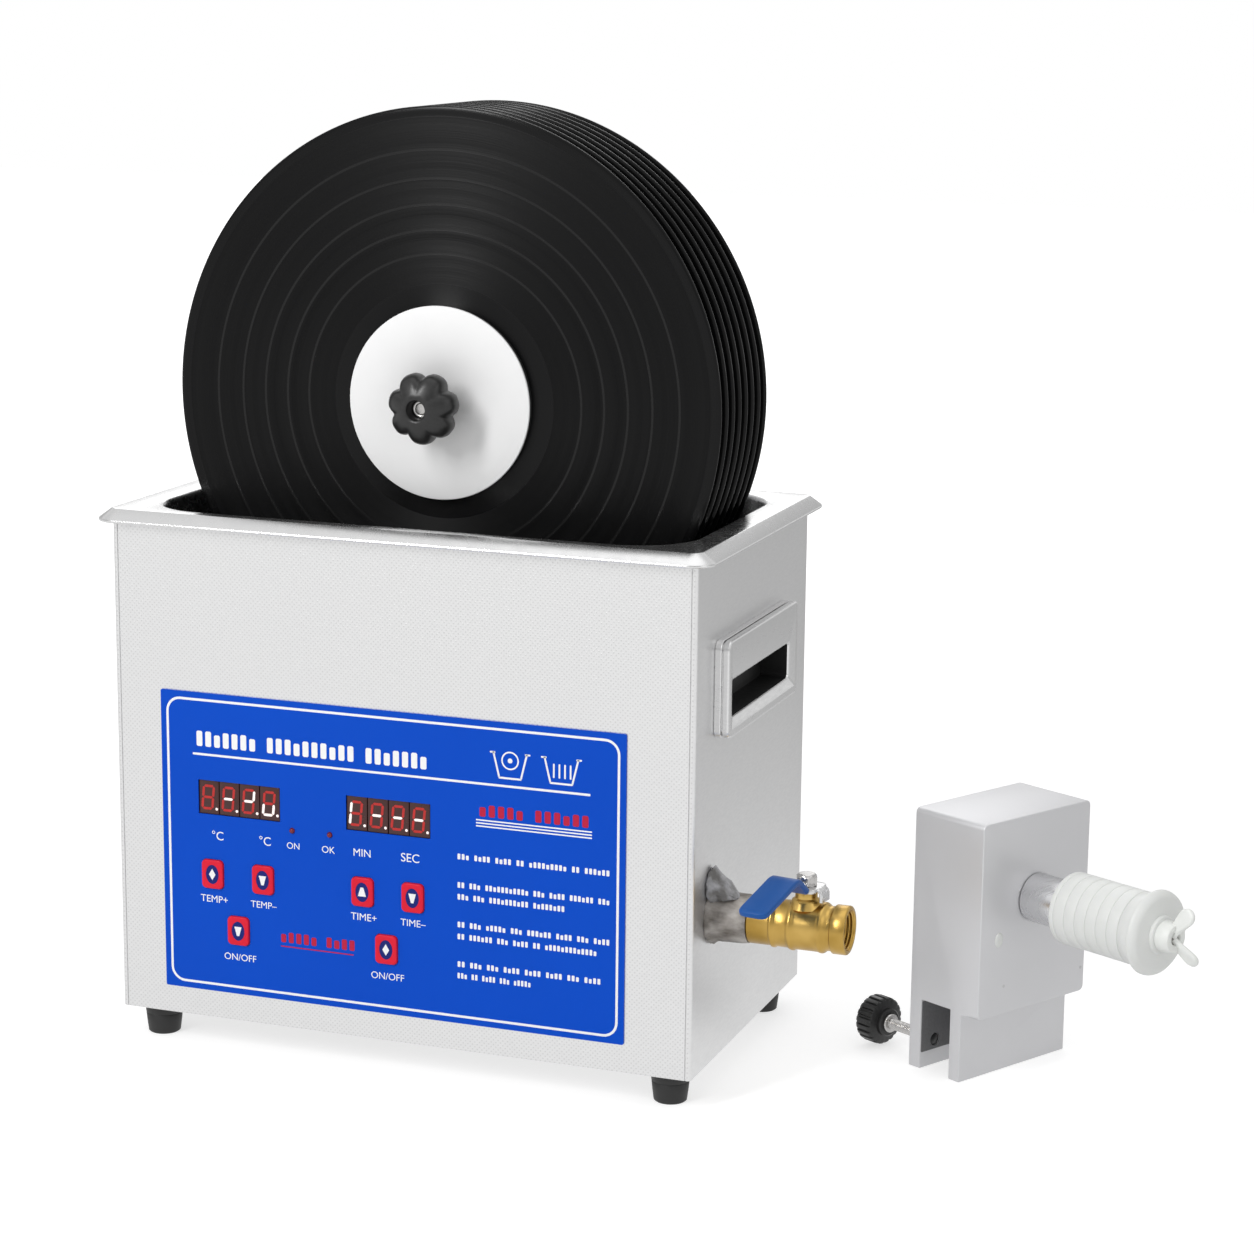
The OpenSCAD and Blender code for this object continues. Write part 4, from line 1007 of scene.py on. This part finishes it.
blue_vinyl, tree, shader = finish_of("lever_vinyl", (0.004, 0.08, 0.32), 0.36,
                                     Specular_IOR_Level=0.3)
skin = noise(tree, 320)
wear(tree, shader, Roughness=spread(tree, skin, 0.28, 0.44), Normal=bump(tree, skin, 0.2, 0.1),
     Base_Color=between(tree, noise(tree, 30), (0.003, 0.065, 0.28), (0.006, 0.095, 0.36)))
sleeve = strip("blue_lever_sleeve", [
    (13.2, 1.7, 0.92), (13.6, 2.0, 1), (15, 3.1, 1), (20.3, 7.3, 1), (21.8, 8.4, 1),
    (23.4, 8.9, 1), (26, 8.95, 1), (27.6, 8.65, 1), (29.2, 8.3, 1), (56, 1.5, 1),
    (58, 1.0, 0.95), (59.2, 0.7, 0.82), (60, 0.5, 0.5)], 16, 3.4, 1.2)
fit(smooth(at_lever(sleeve), 50), "drain_handle", "lever_vinyl", blue_vinyl, "lever_sleeve")

NUT = (1, 7)
HEX = math.radians(60)


def six_sided(radius, height, round_share):
    """A ring between a hexagon and its circle."""
    def reach(a):
        corner = abs((a + HEX / 2) % HEX - HEX / 2)
        flat = math.cos(HEX / 2) / math.cos(corner - HEX / 2)
        return radius * (round_share + (1 - round_share) * flat)
    return around(72, height, reach)


rings = [six_sided(*ring) for ring in [
    (3.05, NUT[0], 1), (4.9, NUT[0], 1), (5.75, NUT[0] + 0.4, 0), (5.8, NUT[0] + 4.5, 0),
    (4.9, NUT[0] + 5, 1), (4.7, NUT[0] + 5.1, 1), (4.5, NUT[1] - 0.4, 1), (3.9, NUT[1], 1),
    (0.05, NUT[1], 1), (0.05, NUT[1] - 0.9, 1), (3.05, NUT[1] - 0.9, 1)]]
nut = at_lever(loft("lever_dome_nut", rings, join=True))
fit(smooth(nut, 30), "drain_handle", "polished_steel", bright, "lever_nut")

# Mains inlet
# A black moulding on the back with a three-pin socket and a red rocker switch above it.
black = speckled("black_moulding", (0.012, 0.012, 0.012), 0.34, 700, (0.008, 0.008, 0.008),
                 (0.018, 0.018, 0.018), (0.26, 0.42), (0.18, 0.12))
rocker_red = speckled("rocker_red", (0.5, 0.008, 0.01), 0.3, 90, (0.42, 0.006, 0.008),
                      (0.58, 0.012, 0.015))
dress("mains_inlet", black)
dress("power_rocker", rocker_red)

# Drives
# Each is a machined aluminium block: a box for the gear motor over two legs that straddle a
# bath's rim. One stands on the bath's back rim, its twin on the table beside the bath.
DRIVE = (82, 103)
DRIVE_FRONT, DRIVE_BACK = -29.75, 18.25
OVERHANG, SLOT, LEG = 12, 20.5, 38
WALL = 3
CORNER = 3
STEP_DOWN = 1.5
FLOOR_UP = 8
SHAFT_Z = 58
CLAMP = (-30, -24)
low, high = (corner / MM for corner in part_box("rim_drive_housing"))
middle_y = (DRIVE_FRONT + DRIVE_BACK) / 2
rim_frame = ((low.x + high.x) / 2, (low.y + high.y) / 2 - middle_y, high.z - DRIVE[1])
low, high = (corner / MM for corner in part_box("spare_drive_housing"))
TURNED = 61
spare_frame = ((low.x + high.x) / 2 + middle_y * math.sin(math.radians(TURNED)),
               (low.y + high.y) / 2 - middle_y * math.cos(math.radians(TURNED)),
               high.z - DRIVE[1])
FRAMES = {"rim": (rim_frame, []), "spare": (spare_frame, [(TURNED, "Z")])}
BODIES = {
    "rim": {"drive": "machine", "shaft": "record_spindle", "pad": "rim_clamp_pad",
            "clamp": "rim_clamp"},
    "spare": {"drive": "spare_drive", "shaft": "spare_shaft", "pad": "spare_clamp_pad",
              "clamp": "spare_clamp"},
}


def at_drives(piece, carrier, slot, finish, node=None, which=("rim", "spare")):
    """Copies a shape from the drive's own frame to each drive. The pattern itself is removed."""
    for name in which:
        place, turns = FRAMES[name]
        one = copy_of(piece, f"{name}_{piece.name}")
        stand(one, place, *turns)
        fit(one, BODIES[name][carrier], slot, finish,
            *([f"{name}_{node}"] if node else []))
    bpy.data.objects.remove(piece)


def bevel_where(piece, test, wide, steps):
    """Rounds the edges whose two ends pass a test of their place in millimetres."""
    only(piece)
    bpy.ops.object.mode_set(mode="EDIT")
    bpy.ops.mesh.select_mode(type="EDGE")
    bpy.ops.mesh.select_all(action="DESELECT")
    mesh = bmesh.from_edit_mesh(piece.data)
    for edge in mesh.edges:
        edge.select_set(test(edge.verts[0].co / MM, edge.verts[1].co / MM))
    bmesh.update_edit_mesh(piece.data)
    bpy.ops.mesh.bevel(offset=wide * MM, segments=steps, affect="EDGES")
    bpy.ops.mesh.select_mode(type="VERT")
    bpy.ops.object.mode_set(mode="OBJECT")
    return piece


aluminium, tree, shader = finish_of("drive_aluminium", (0.66, 0.66, 0.675), 0.4, 0.5)
blasted = noise(tree, 1400)
cloud = noise(tree, 18)
wear(tree, shader, Normal=bump(tree, blasted, 0.12, 0.05),
     Roughness=spread(tree, blasted, 0.38, 0.48),
     Base_Color=between(tree, cloud, (0.63, 0.63, 0.645), (0.69, 0.69, 0.705)))
half = SLOT / 2
half_wide = DRIVE[0] / 2
side_view = [(DRIVE_FRONT, -STEP_DOWN), (DRIVE_FRONT + OVERHANG, -STEP_DOWN),
             (DRIVE_FRONT + OVERHANG, -LEG), (-half, -LEG), (-half, 0), (half, 0),
             (half, -LEG), (DRIVE_BACK, -LEG), (DRIVE_BACK, DRIVE[1]), (DRIVE_FRONT, DRIVE[1])]
housing = slab("drive_housing", "x", side_view, -half_wide, half_wide)


def along_depth(a, b, heights):
    return (abs(a.x - b.x) < 0.01 and abs(a.z - b.z) < 0.01
            and any(abs(a.z - h) < 0.1 for h in heights))


bevel_where(housing, lambda a, b: along_depth(a, b, [DRIVE[1]])
            or along_depth(a, b, [-STEP_DOWN]) and min(a.y, b.y) < DRIVE_FRONT + 0.1, CORNER, 5)
smooth(housing, 30, 0.7, 3)
inside = (DRIVE[0] - 2 * WALL, DRIVE[1] - FLOOR_UP - WALL)
inside_at = (0, (DRIVE[1] - WALL + FLOOR_UP) / 2)
pocket = rounded(*inside, 1.5, 4, inside_at)
bore = rounded(10.8, 10.8, 5.39, 8, (0, SHAFT_Z))
hole = rounded(6.1, 6.1, 3.04, 8, CLAMP)
mouth = rounded(7, 7, 3.49, 8, CLAMP)
line = rounded(90, 0.5, 0.1, 1, (0, -LEG + 8.6))
cut(housing,
    slab("pocket", "y", pocket, DRIVE_FRONT + WALL, DRIVE_BACK + 2),
    slab("bore", "y", bore, DRIVE_FRONT - 1, DRIVE_FRONT + WALL + 1),
    layers("hole", "y", (mouth, half - 1), (mouth, half + 3.6), (hole, half + 3.6),
           (hole, DRIVE_BACK + 1)),
    slab("line", "y", line, DRIVE_BACK - 0.4, DRIVE_BACK + 1))
smooth(housing, 30)
at_drives(housing, "drive", "drive_aluminium", aluminium, "drive_housing")

outline = rounded(inside[0] - 0.2, inside[1] - 0.2, 1.4, 4, inside_at)
cover = slab("drive_cover", "y", outline, DRIVE_BACK - 2, DRIVE_BACK)
at_drives(smooth(cover, 30, 0.3, 2), "drive", "drive_aluminium", aluminium, "drive_cover")
screw = turn("cover_screw", [(0.9, 0), (2.4, 0), (2.4, 0.2), (1.9, 0.7), (1.1, 0.9), (0.9, 0.3)],
             32)
smooth(screw, 40)
for i, (x, z) in enumerate([(-33, 13), (33, 13), (-33, 95), (33, 95)]):
    one = copy_of(screw, f"cover_screw_{i + 1}")
    stand(one, (x, DRIVE_BACK - 0.6, z), (-90, "X"))
    at_drives(one, "drive", "plain_steel", plain_steel)
bpy.data.objects.remove(screw)
plug = turn("oval_plug", [(0.05, 0), (2.9, 0), (2.9, 0.25), (2.6, 0.55), (1.2, 0.75),
                          (0.05, 0.78)], 48)
for vertex in plug.data.vertices:
    vertex.co.y *= 1.35
stand(smooth(plug, 50), (-27.1, DRIVE_FRONT + 0.02, 39.7), (90, "X"))
at_drives(plug, "drive", "white_nylon", nylon)
for i, (x, z) in enumerate([(-22, 13.8), (38.2, 11.6)]):
    pin = turn(f"small_screw_{i + 1}", [(0.05, 0), (0.85, 0), (0.85, 0.12), (0.5, 0.2),
                                        (0.05, 0.05)], 16)
    stand(smooth(pin, 50), (x, DRIVE_FRONT + 0.02, z), (90, "X"))
    at_drives(pin, "drive", "plain_steel", plain_steel)
liner_grey = speckled("slot_liner", (0.16, 0.16, 0.165), 0.5, 800, (0.13, 0.13, 0.135),
                      (0.2, 0.2, 0.205), relief=(0.3, 0.1))
lined = rounded(DRIVE[0] - 1.6, 28, 0.4, 2, (0, -15.2))
liner = slab("slot_liner", "y", lined, half - 0.35, half + 0.02)
cut(liner, slab("mouth", "y", mouth, half - 1, half + 1))
at_drives(smooth(liner, 30), "drive", "black_moulding", liner_grey)
for name in ("rim", "spare"):
    dress(f"{name}_gear_motor", cast)
    dress(f"{name}_spindle", bright)

# Collar
# A turned aluminium coupling joins the gear motor's shaft to the rod. A slotted set screw
# holds it, and a flange of white nylon starts the stack.
COLLAR = (-55.25, -30.15)
SET_SCREW = 115
turned_aluminium, tree, shader = finish_of("collar_aluminium", (0.76, 0.76, 0.77), 0.27, 1.0)
lathe = noise(tree, 1.0, 3.0, (60, 900, 60))
wear(tree, shader, Roughness=spread(tree, lathe, 0.2, 0.36),
     Base_Color=between(tree, lathe, (0.7, 0.7, 0.71), (0.8, 0.8, 0.81)),
     Normal=bump(tree, lathe, 0.08, 0.02))
length = COLLAR[1] - COLLAR[0]
collar = turn("collar", [
    (5.03, 0), (12.4, 0), (12.8, 0.15), (13, 0.6), (13, length - 0.8), (12.8, length - 0.25),
    (12.3, length), (3.55, length), (3.55, length - 13), (5.03, length - 13)], 96)
stand(collar, (0, COLLAR[1], SHAFT_Z), (90, "X"))
tapped = turn("tapped", [(0.05, 3), (2.25, 3), (2.25, 16), (0.05, 16)], 24)
stand(tapped, (0, COLLAR[0] + 7, SHAFT_Z), (SET_SCREW, "Y"))
cut(collar, tapped)
at_drives(smooth(collar, 35), "shaft", "collar_aluminium", turned_aluminium, "collar")
grub = turn("set_screw", [(0.8, 3.6), (2.1, 3.6), (2.1, 12.0), (1.8, 12.3), (0.95, 12.3),
                          (0.8, 12.1)], 24)
stand(smooth(grub, 40), (0, COLLAR[0] + 7, SHAFT_Z), (SET_SCREW, "Y"))
at_drives(grub, "shaft", "polished_steel", bright)

# Clamp screw
# A steel screw with a fluted black hand knob goes through the outer leg and presses a small
# pad against the rim.
THREAD = (3.0, 2.7)
THREAD_PITCH = 1.0
KNOB_FLUTES = 20
KNOB_AT = 32.8
TIPS = {"rim": -1.9, "spare": 10.25}
THREAD_FROM, THREAD_TO = 3.1, KNOB_AT - 1.4
THREAD_STEPS = 160


def threaded(height):
    """A ring of the thread: its radius runs up and down once round."""
    def reach(a):
        phase = (height / THREAD_PITCH - a / (2 * math.pi)) % 1
        return THREAD[1] + (THREAD[0] - THREAD[1]) * min(1, 2.4 * abs(phase - 0.5))
    return around(32, height, reach)


def fluted(radius, height, flute):
    """A ring of the hand knob, with its flutes cut in."""
    return around(KNOB_FLUTES * 8, height,
                  lambda a: radius - flute * (math.cos(KNOB_FLUTES * a) > 0.35))


screw = loft("clamp_screw", [
    threaded(THREAD_FROM + i * (THREAD_TO - THREAD_FROM) / THREAD_STEPS)
    for i in range(THREAD_STEPS + 1)])
knob = loft("clamp_knob", [fluted(r, h, flute) for r, h, flute in [
    (3.1, -1.2, 0), (4.2, -1.2, 0), (4.4, -0.9, 0), (4.4, 0, 0), (6.9, 0, 0), (7.6, 0.6, 0),
    (7.7, 2.6, 0), (8.6, 3.0, 0), (11.2, 3.0, 0), (12.2, 3.4, 0.5), (12.7, 4.2, 0.9),
    (12.8, 5.2, 1.0), (12.8, 11.6, 1.0), (12.6, 12.8, 0.9), (11.9, 13.6, 0.4), (10.8, 14, 0),
    (5.2, 14, 0), (4.6, 13.4, 0), (4.5, 13, 0), (0.05, 13, 0), (0.05, 9.1, 0), (3.1, 9.1, 0)]],
    join=True)
pad = turn("clamp_pad", [(0.05, 0), (2.6, 0), (3.2, 0.5), (3.2, 2.7), (2.9, 3), (1.5, 3),
                         (1.5, 7), (0.05, 7)], 32)
ring = turn("clamp_knob_insert", [(3.05, -1.6), (4.9, -1.6), (5.1, -1.3), (5.1, -0.2),
                                  (3.05, -0.2)], 32)
for name, tip in TIPS.items():
    for shape, part, carrier, slot, finish, node in (
            (pad, "pad", "pad", "black_moulding", black, "clamp_tip"),
            (screw, "screw", "clamp", "polished_steel", bright, "clamp_screw"),
            (knob, "knob", "clamp", "black_moulding", black, "clamp_knob"),
            (ring, "insert", "clamp", "polished_steel", bright, None)):
        lift = KNOB_AT if part in ("knob", "insert") else 0
        one = copy_of(shape, f"clamp_{part}")
        stand(smooth(one, 40), (CLAMP[0], tip + lift, CLAMP[1]), (-90, "X"))
        at_drives(one, carrier, slot, finish, node, (name,))
for shape in (pad, screw, knob, ring):
    bpy.data.objects.remove(shape)

# Spacers
# Rings of white nylon: a flange and seven spacers between the records, and on the standing
# drive a flange and six spacers pushed tight together.
SPACER_R, ROD_R = 19, 3.5
SPACER, SPARE_SPACER, FLANGE, RECORD = 8.2, 7, 3, 2.4
PITCH = SPACER + RECORD


def spacer_ring(name, thick):
    ring = turn(name, [(ROD_R + 0.1, 0), (SPACER_R - 0.55, 0), (SPACER_R - 0.15, 0.15),
                       (SPACER_R, 0.55), (SPACER_R, thick - 0.55),
                       (SPACER_R - 0.15, thick - 0.15), (SPACER_R - 0.55, thick),
                       (ROD_R + 0.1, thick)], 96)
    return smooth(ring, 60)


flange = spacer_ring("flange", FLANGE)
stand(flange, (0, COLLAR[0], SHAFT_Z), (90, "X"))
at_drives(flange, "shaft", "white_nylon", nylon)
stack = COLLAR[0] - FLANGE
for which, count, thick, pitch, first, node in (
        ("rim", 7, SPACER, PITCH, stack - RECORD, "record_spacers"),
        ("spare", 6, SPARE_SPACER, SPARE_SPACER, stack, "spare_spacers_set")):
    for i in range(count):
        one = spacer_ring(f"{which}_spacer_{i + 1}", thick)
        stand(one, (0, first - i * pitch, SHAFT_Z), (90, "X"))
        place, turns = FRAMES[which]
        stand(one, place, *turns)
        fit(one, BODIES[which]["shaft"], "white_nylon", nylon, node)

# Records
# Eight pressed vinyl discs with a raised label zone and edge, five bands of fine grooves
# with smooth gaps, and a smooth run-out. They hang on the rod between the spacers.
RECORD_COUNT = 8
RECORD_SIDES = 256
RECORD_HALF = [
    # radius, then how far the surface lies from the disc's middle plane
    (3.66, 1.12), (3.9, 1.2), (35.4, 1.2), (35.9, 1.1), (36.6, 1.1), (37.1, 1.2),
    (49.6, 1.2), (51.2, 0.86), (60.6, 0.84), (61.2, 0.8), (145.2, 0.8), (146.4, 0.86),
    (147.8, 1.12), (149.2, 1.16), (150.1, 0.9), (150.5, 0.45),
]
TRACK_GAPS = (76, 88.3, 101.1, 114.2, 128.7)
axis_x, axis_z = rim_frame[0], rim_frame[2] + SHAFT_Z
vinyl, tree, shader = finish_of("record_vinyl", (0.004, 0.004, 0.0045), 0.3,
                                Anisotropic=0.85, Anisotropic_Rotation=0.25,
                                Specular_IOR_Level=0.18)
where = from_object(tree, (axis_x * MM, 0, axis_z * MM), (1, 0, 1))
radius = graph(tree, "VectorMath", {0: where}, operation="LENGTH").node.outputs["Value"]
rings = graph(tree, "TexNoise", {"W": radius, "Scale": 1900.0, "Detail": 3.0},
              noise_dimensions="1D")
broad = graph(tree, "TexNoise", {"W": radius, "Scale": 160.0, "Detail": 2.0},
              noise_dimensions="1D")
gaps = None
for gap in TRACK_GAPS:
    away = graph(tree, "Math", {0: radius, 1: -gap * MM}, operation="ADD")
    away = graph(tree, "Math", {0: away}, operation="ABSOLUTE")
    near = spread(tree, away, 1, 0, 0.35 * MM, 0.75 * MM)
    gaps = near if gaps is None else graph(tree, "Math", {0: gaps, 1: near}, operation="MAXIMUM")
inner = spread(tree, radius, 1, 0, 60.5 * MM, 61.2 * MM)
outer = spread(tree, radius, 0, 1, 144.8 * MM, 145.6 * MM)
plain = graph(tree, "Math", {0: inner, 1: outer}, operation="MAXIMUM")
plain = graph(tree, "Math", {0: plain, 1: gaps}, operation="MAXIMUM")
tone = graph(tree, "Math", {0: spread(tree, broad, 0, 0.55), 1: spread(tree, rings, 0, 0.5)},
             operation="ADD")
rough = graph(tree, "Mix", {0: plain, 2: spread(tree, tone, 0.3, 0.72, 0.25, 0.8), 3: 0.24},
              data_type="FLOAT").node.outputs[0]
relief = graph(tree, "Math", {0: rings, 1: spread(tree, plain, 1, 0)}, operation="MULTIPLY")
# Painted sheen: the grooves' colour rises and falls in rings, and the smooth gaps get a lighter
# black. Their real gloss comes from the roughness.
grooves_with_painted_sheen = between(tree, tone, (0.0003, 0.0003, 0.0004), (0.005, 0.005, 0.0053))
wear(tree, shader, Roughness=rough, Normal=bump(tree, relief, 0.35, 0.12),
     Base_Color=graph(tree, "Mix", {0: gaps, 6: grooves_with_painted_sheen, 7: (0.014, 0.014, 0.014, 1)},
                      data_type="RGBA").node.outputs[2],
     Tangent=graph(tree, "Tangent", direction_type="RADIAL", axis="Y"))
pattern = smooth(turn("record", RECORD_HALF + [(r, -h) for r, h in reversed(RECORD_HALF)],
                      RECORD_SIDES), 50)
for i in range(RECORD_COUNT):
    disc = copy_of(pattern, f"record_{i + 1}")
    stand(disc, (0, stack - RECORD / 2 - i * PITCH, SHAFT_Z), (90, "X"))
    stand(disc, rim_frame)
    fit(disc, "record_spindle", "record_vinyl", vinyl, "records")
bpy.data.objects.remove(pattern)

# Clamp disc and gasket
# A white acrylic disc presses a black rubber sheet against the front record's label.
GASKET, DISC = 4, 1.5
GASKET_R, DISC_R = 49.4, 50
stack_end = stack - RECORD - (RECORD_COUNT - 1) * PITCH


def on_rod(piece, from_stack_end, body, slot, finish, *nodes):
    """Turns a shape to face the front and sets it on the record rod."""
    stand(piece, (0, stack_end - from_stack_end, SHAFT_Z), (90, "X"))
    stand(piece, rim_frame)
    return fit(smooth(piece, 50), body, slot, finish, *nodes)


black_rubber = speckled("black_rubber", (0.012, 0.012, 0.012), 0.65, 900, (0.009, 0.009, 0.009),
                        (0.018, 0.018, 0.018), (0.55, 0.75), (0.25, 0.1))
gasket = turn("rubber_label_gasket", [
    (3.6, 0), (GASKET_R - 0.3, 0), (GASKET_R, 0.3), (GASKET_R, 1.85), (GASKET_R - 0.25, 2),
    (GASKET_R, 2.15), (GASKET_R, 3.7), (GASKET_R - 0.3, GASKET), (3.6, GASKET)], 192)
on_rod(gasket, 0, "record_clamp", "gasket_rubber", black_rubber, "label_gasket")
white_disc = speckled("disc_white", (0.86, 0.86, 0.86), 0.42, 60, (0.84, 0.84, 0.84),
                      (0.88, 0.88, 0.88), (0.38, 0.5))
disc = turn("white_clamp_disc", [
    (3.6, 0), (DISC_R - 0.25, 0), (DISC_R, 0.25), (DISC_R, DISC - 0.45),
    (DISC_R - 0.13, DISC - 0.13), (DISC_R - 0.45, DISC), (4.2, DISC), (3.6, DISC - 0.6)], 192)
on_rod(disc, GASKET, "record_clamp", "disc_white", white_disc, "clamp_disc")

# Star knob
# A black moulded knob with seven lobes, a domed front and a deep recess, in which the end
# of its steel thread insert shows as a bright ring.
LOBES, LOBE_TURN = 7, 12
KNOB_SIDES = 168
HUB = 14
GRIP_R = 18.55


def lobed(radius, height, depth):
    """A ring with seven round lobes. depth is how far the hollows between them reach in."""
    def reach(a):
        wave = math.cos(LOBES / 2 * (a - math.radians(LOBE_TURN))) ** 2
        return radius - depth * max(0, 1 - math.sqrt(wave + 0.03)) ** 1.5
    return around(KNOB_SIDES, height, reach)


knob = loft("black_star_knob", [lobed(r, h, d) for r, h, d in [
    (3.55, 0.0, 0), (7.2, 0.0, 0), (7.5, 0.5, 0), (8.0, HUB - 1.0, 0), (9.0, HUB - 0.2, 0),
    (14.5, HUB, 1.5), (GRIP_R - 1.4, HUB + 0.3, 3.6), (GRIP_R - 0.4, HUB + 1.2, 4.0),
    (GRIP_R, HUB + 3, 4.2), (GRIP_R, HUB + 6.5, 4.2), (GRIP_R - 0.7, HUB + 9, 3.9),
    (GRIP_R - 2.2, HUB + 11.3, 3.2), (GRIP_R - 4.6, HUB + 13.2, 2.0),
    (GRIP_R - 7.4, HUB + 14.6, 0.9), (8.6, HUB + 15.6, 0.5), (6.6, HUB + 16, 0),
    (5.5, HUB + 15.8, 0), (5.0, HUB + 15.1, 0), (4.8, HUB + 7, 0), (3.55, HUB + 7, 0)]],
    join=True)
on_rod(knob, GASKET + DISC + 0.1, "record_knob", "black_moulding", black, "star_knob")
insert = turn("star_knob_insert", [(2.6, 0), (4.6, 0), (4.7, 1.6), (4.3, 2.0), (3.2, 2.0),
                                   (2.6, 1.4)], 48)
on_rod(insert, GASKET + DISC + 0.1 + HUB + 7.1, "record_knob", "polished_steel", bright)

# End cap and wing nut
# On the standing drive a white nylon cap closes the stack, and a moulded wing nut with two
# rounded wings holds it.
CAP_R, CAP_NECK, CAP, BOSS = 22, 8, 13, 2
WING = 7.5
cap_at = stack - 6 * SPARE_SPACER
cap = turn("spare_nylon_cap", [
    (3.6, 0), (SPACER_R - 0.5, 0), (SPACER_R, 0.5), (SPACER_R, CAP_NECK - 1),
    (CAP_R - 0.4, CAP_NECK - 0.1), (CAP_R, CAP_NECK + 0.4), (CAP_R, CAP_NECK + 1.4),
    (CAP_R - 0.5, CAP_NECK + 2.8), (CAP_R - 1.6, CAP - 1.1), (CAP_R - 2.6, CAP - 0.3),
    (CAP_R - 3.8, CAP), (10.8, CAP), (10.1, CAP + 0.3), (9.8, CAP + BOSS - 0.4),
    (9.4, CAP + BOSS), (3.6, CAP + BOSS)], 96)
hub = turn("spare_wing_nut_hub", [(3.6, 0), (7.9, 0), (8.2, 0.4), (7.3, WING - 0.5),
                                  (6.9, WING), (3.9, WING), (3.6, WING - 0.3)], 64)
clear = speckled("wing_nylon", (0.82, 0.84, 0.82), 0.36, 60, (0.78, 0.8, 0.77),
                 (0.86, 0.87, 0.85), Subsurface_Weight=0.4,
                 Subsurface_Radius=(0.004, 0.004, 0.004))
for piece, at, body, finish, nodes in (
        (cap, cap_at, "spare_cap", nylon, ["spare_end_cap"]),
        (hub, cap_at - CAP - BOSS - 0.1, "spare_nut", clear, ["spare_wing_nut"])):
    stand(smooth(piece, 50), (0, at, SHAFT_Z), (90, "X"))
    stand(piece, spare_frame, (TURNED, "Z"))
    fit(piece, body, "white_nylon", finish, *nodes)
WING_RINGS = [(4, 3.2, 1.7), (7, 3.2, 1.5), (10, 3.5, 1.5), (13, 4.1, 1.5), (16, 4.5, 1.6),
              (18, 4.5, 1.6), (19.6, 3.8, 1.5), (20.8, 2.7, 1.2), (21.5, 1.2, 0.7)]
for side, name in ((1, "upper"), (-1, "lower")):
    wing = layers(f"spare_wing_{name}", "z", *[
        (rounded(2 * thick, 2 * wide, min(thick, wide) * 0.9, 4, (0, -2.2)), h)
        for h, wide, thick in WING_RINGS])
    turns = [(8 if side > 0 else -30, "Y"), (38 * side, "X")]
    turns += [(180, "Y")] if side < 0 else []
    stand(wing, (0, cap_at - CAP - BOSS - 0.1, SHAFT_Z), *turns)
    stand(smooth(wing, 60), spare_frame, (TURNED, "Z"))
    fit(wing, "spare_nut", "white_nylon", clear)

low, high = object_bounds()
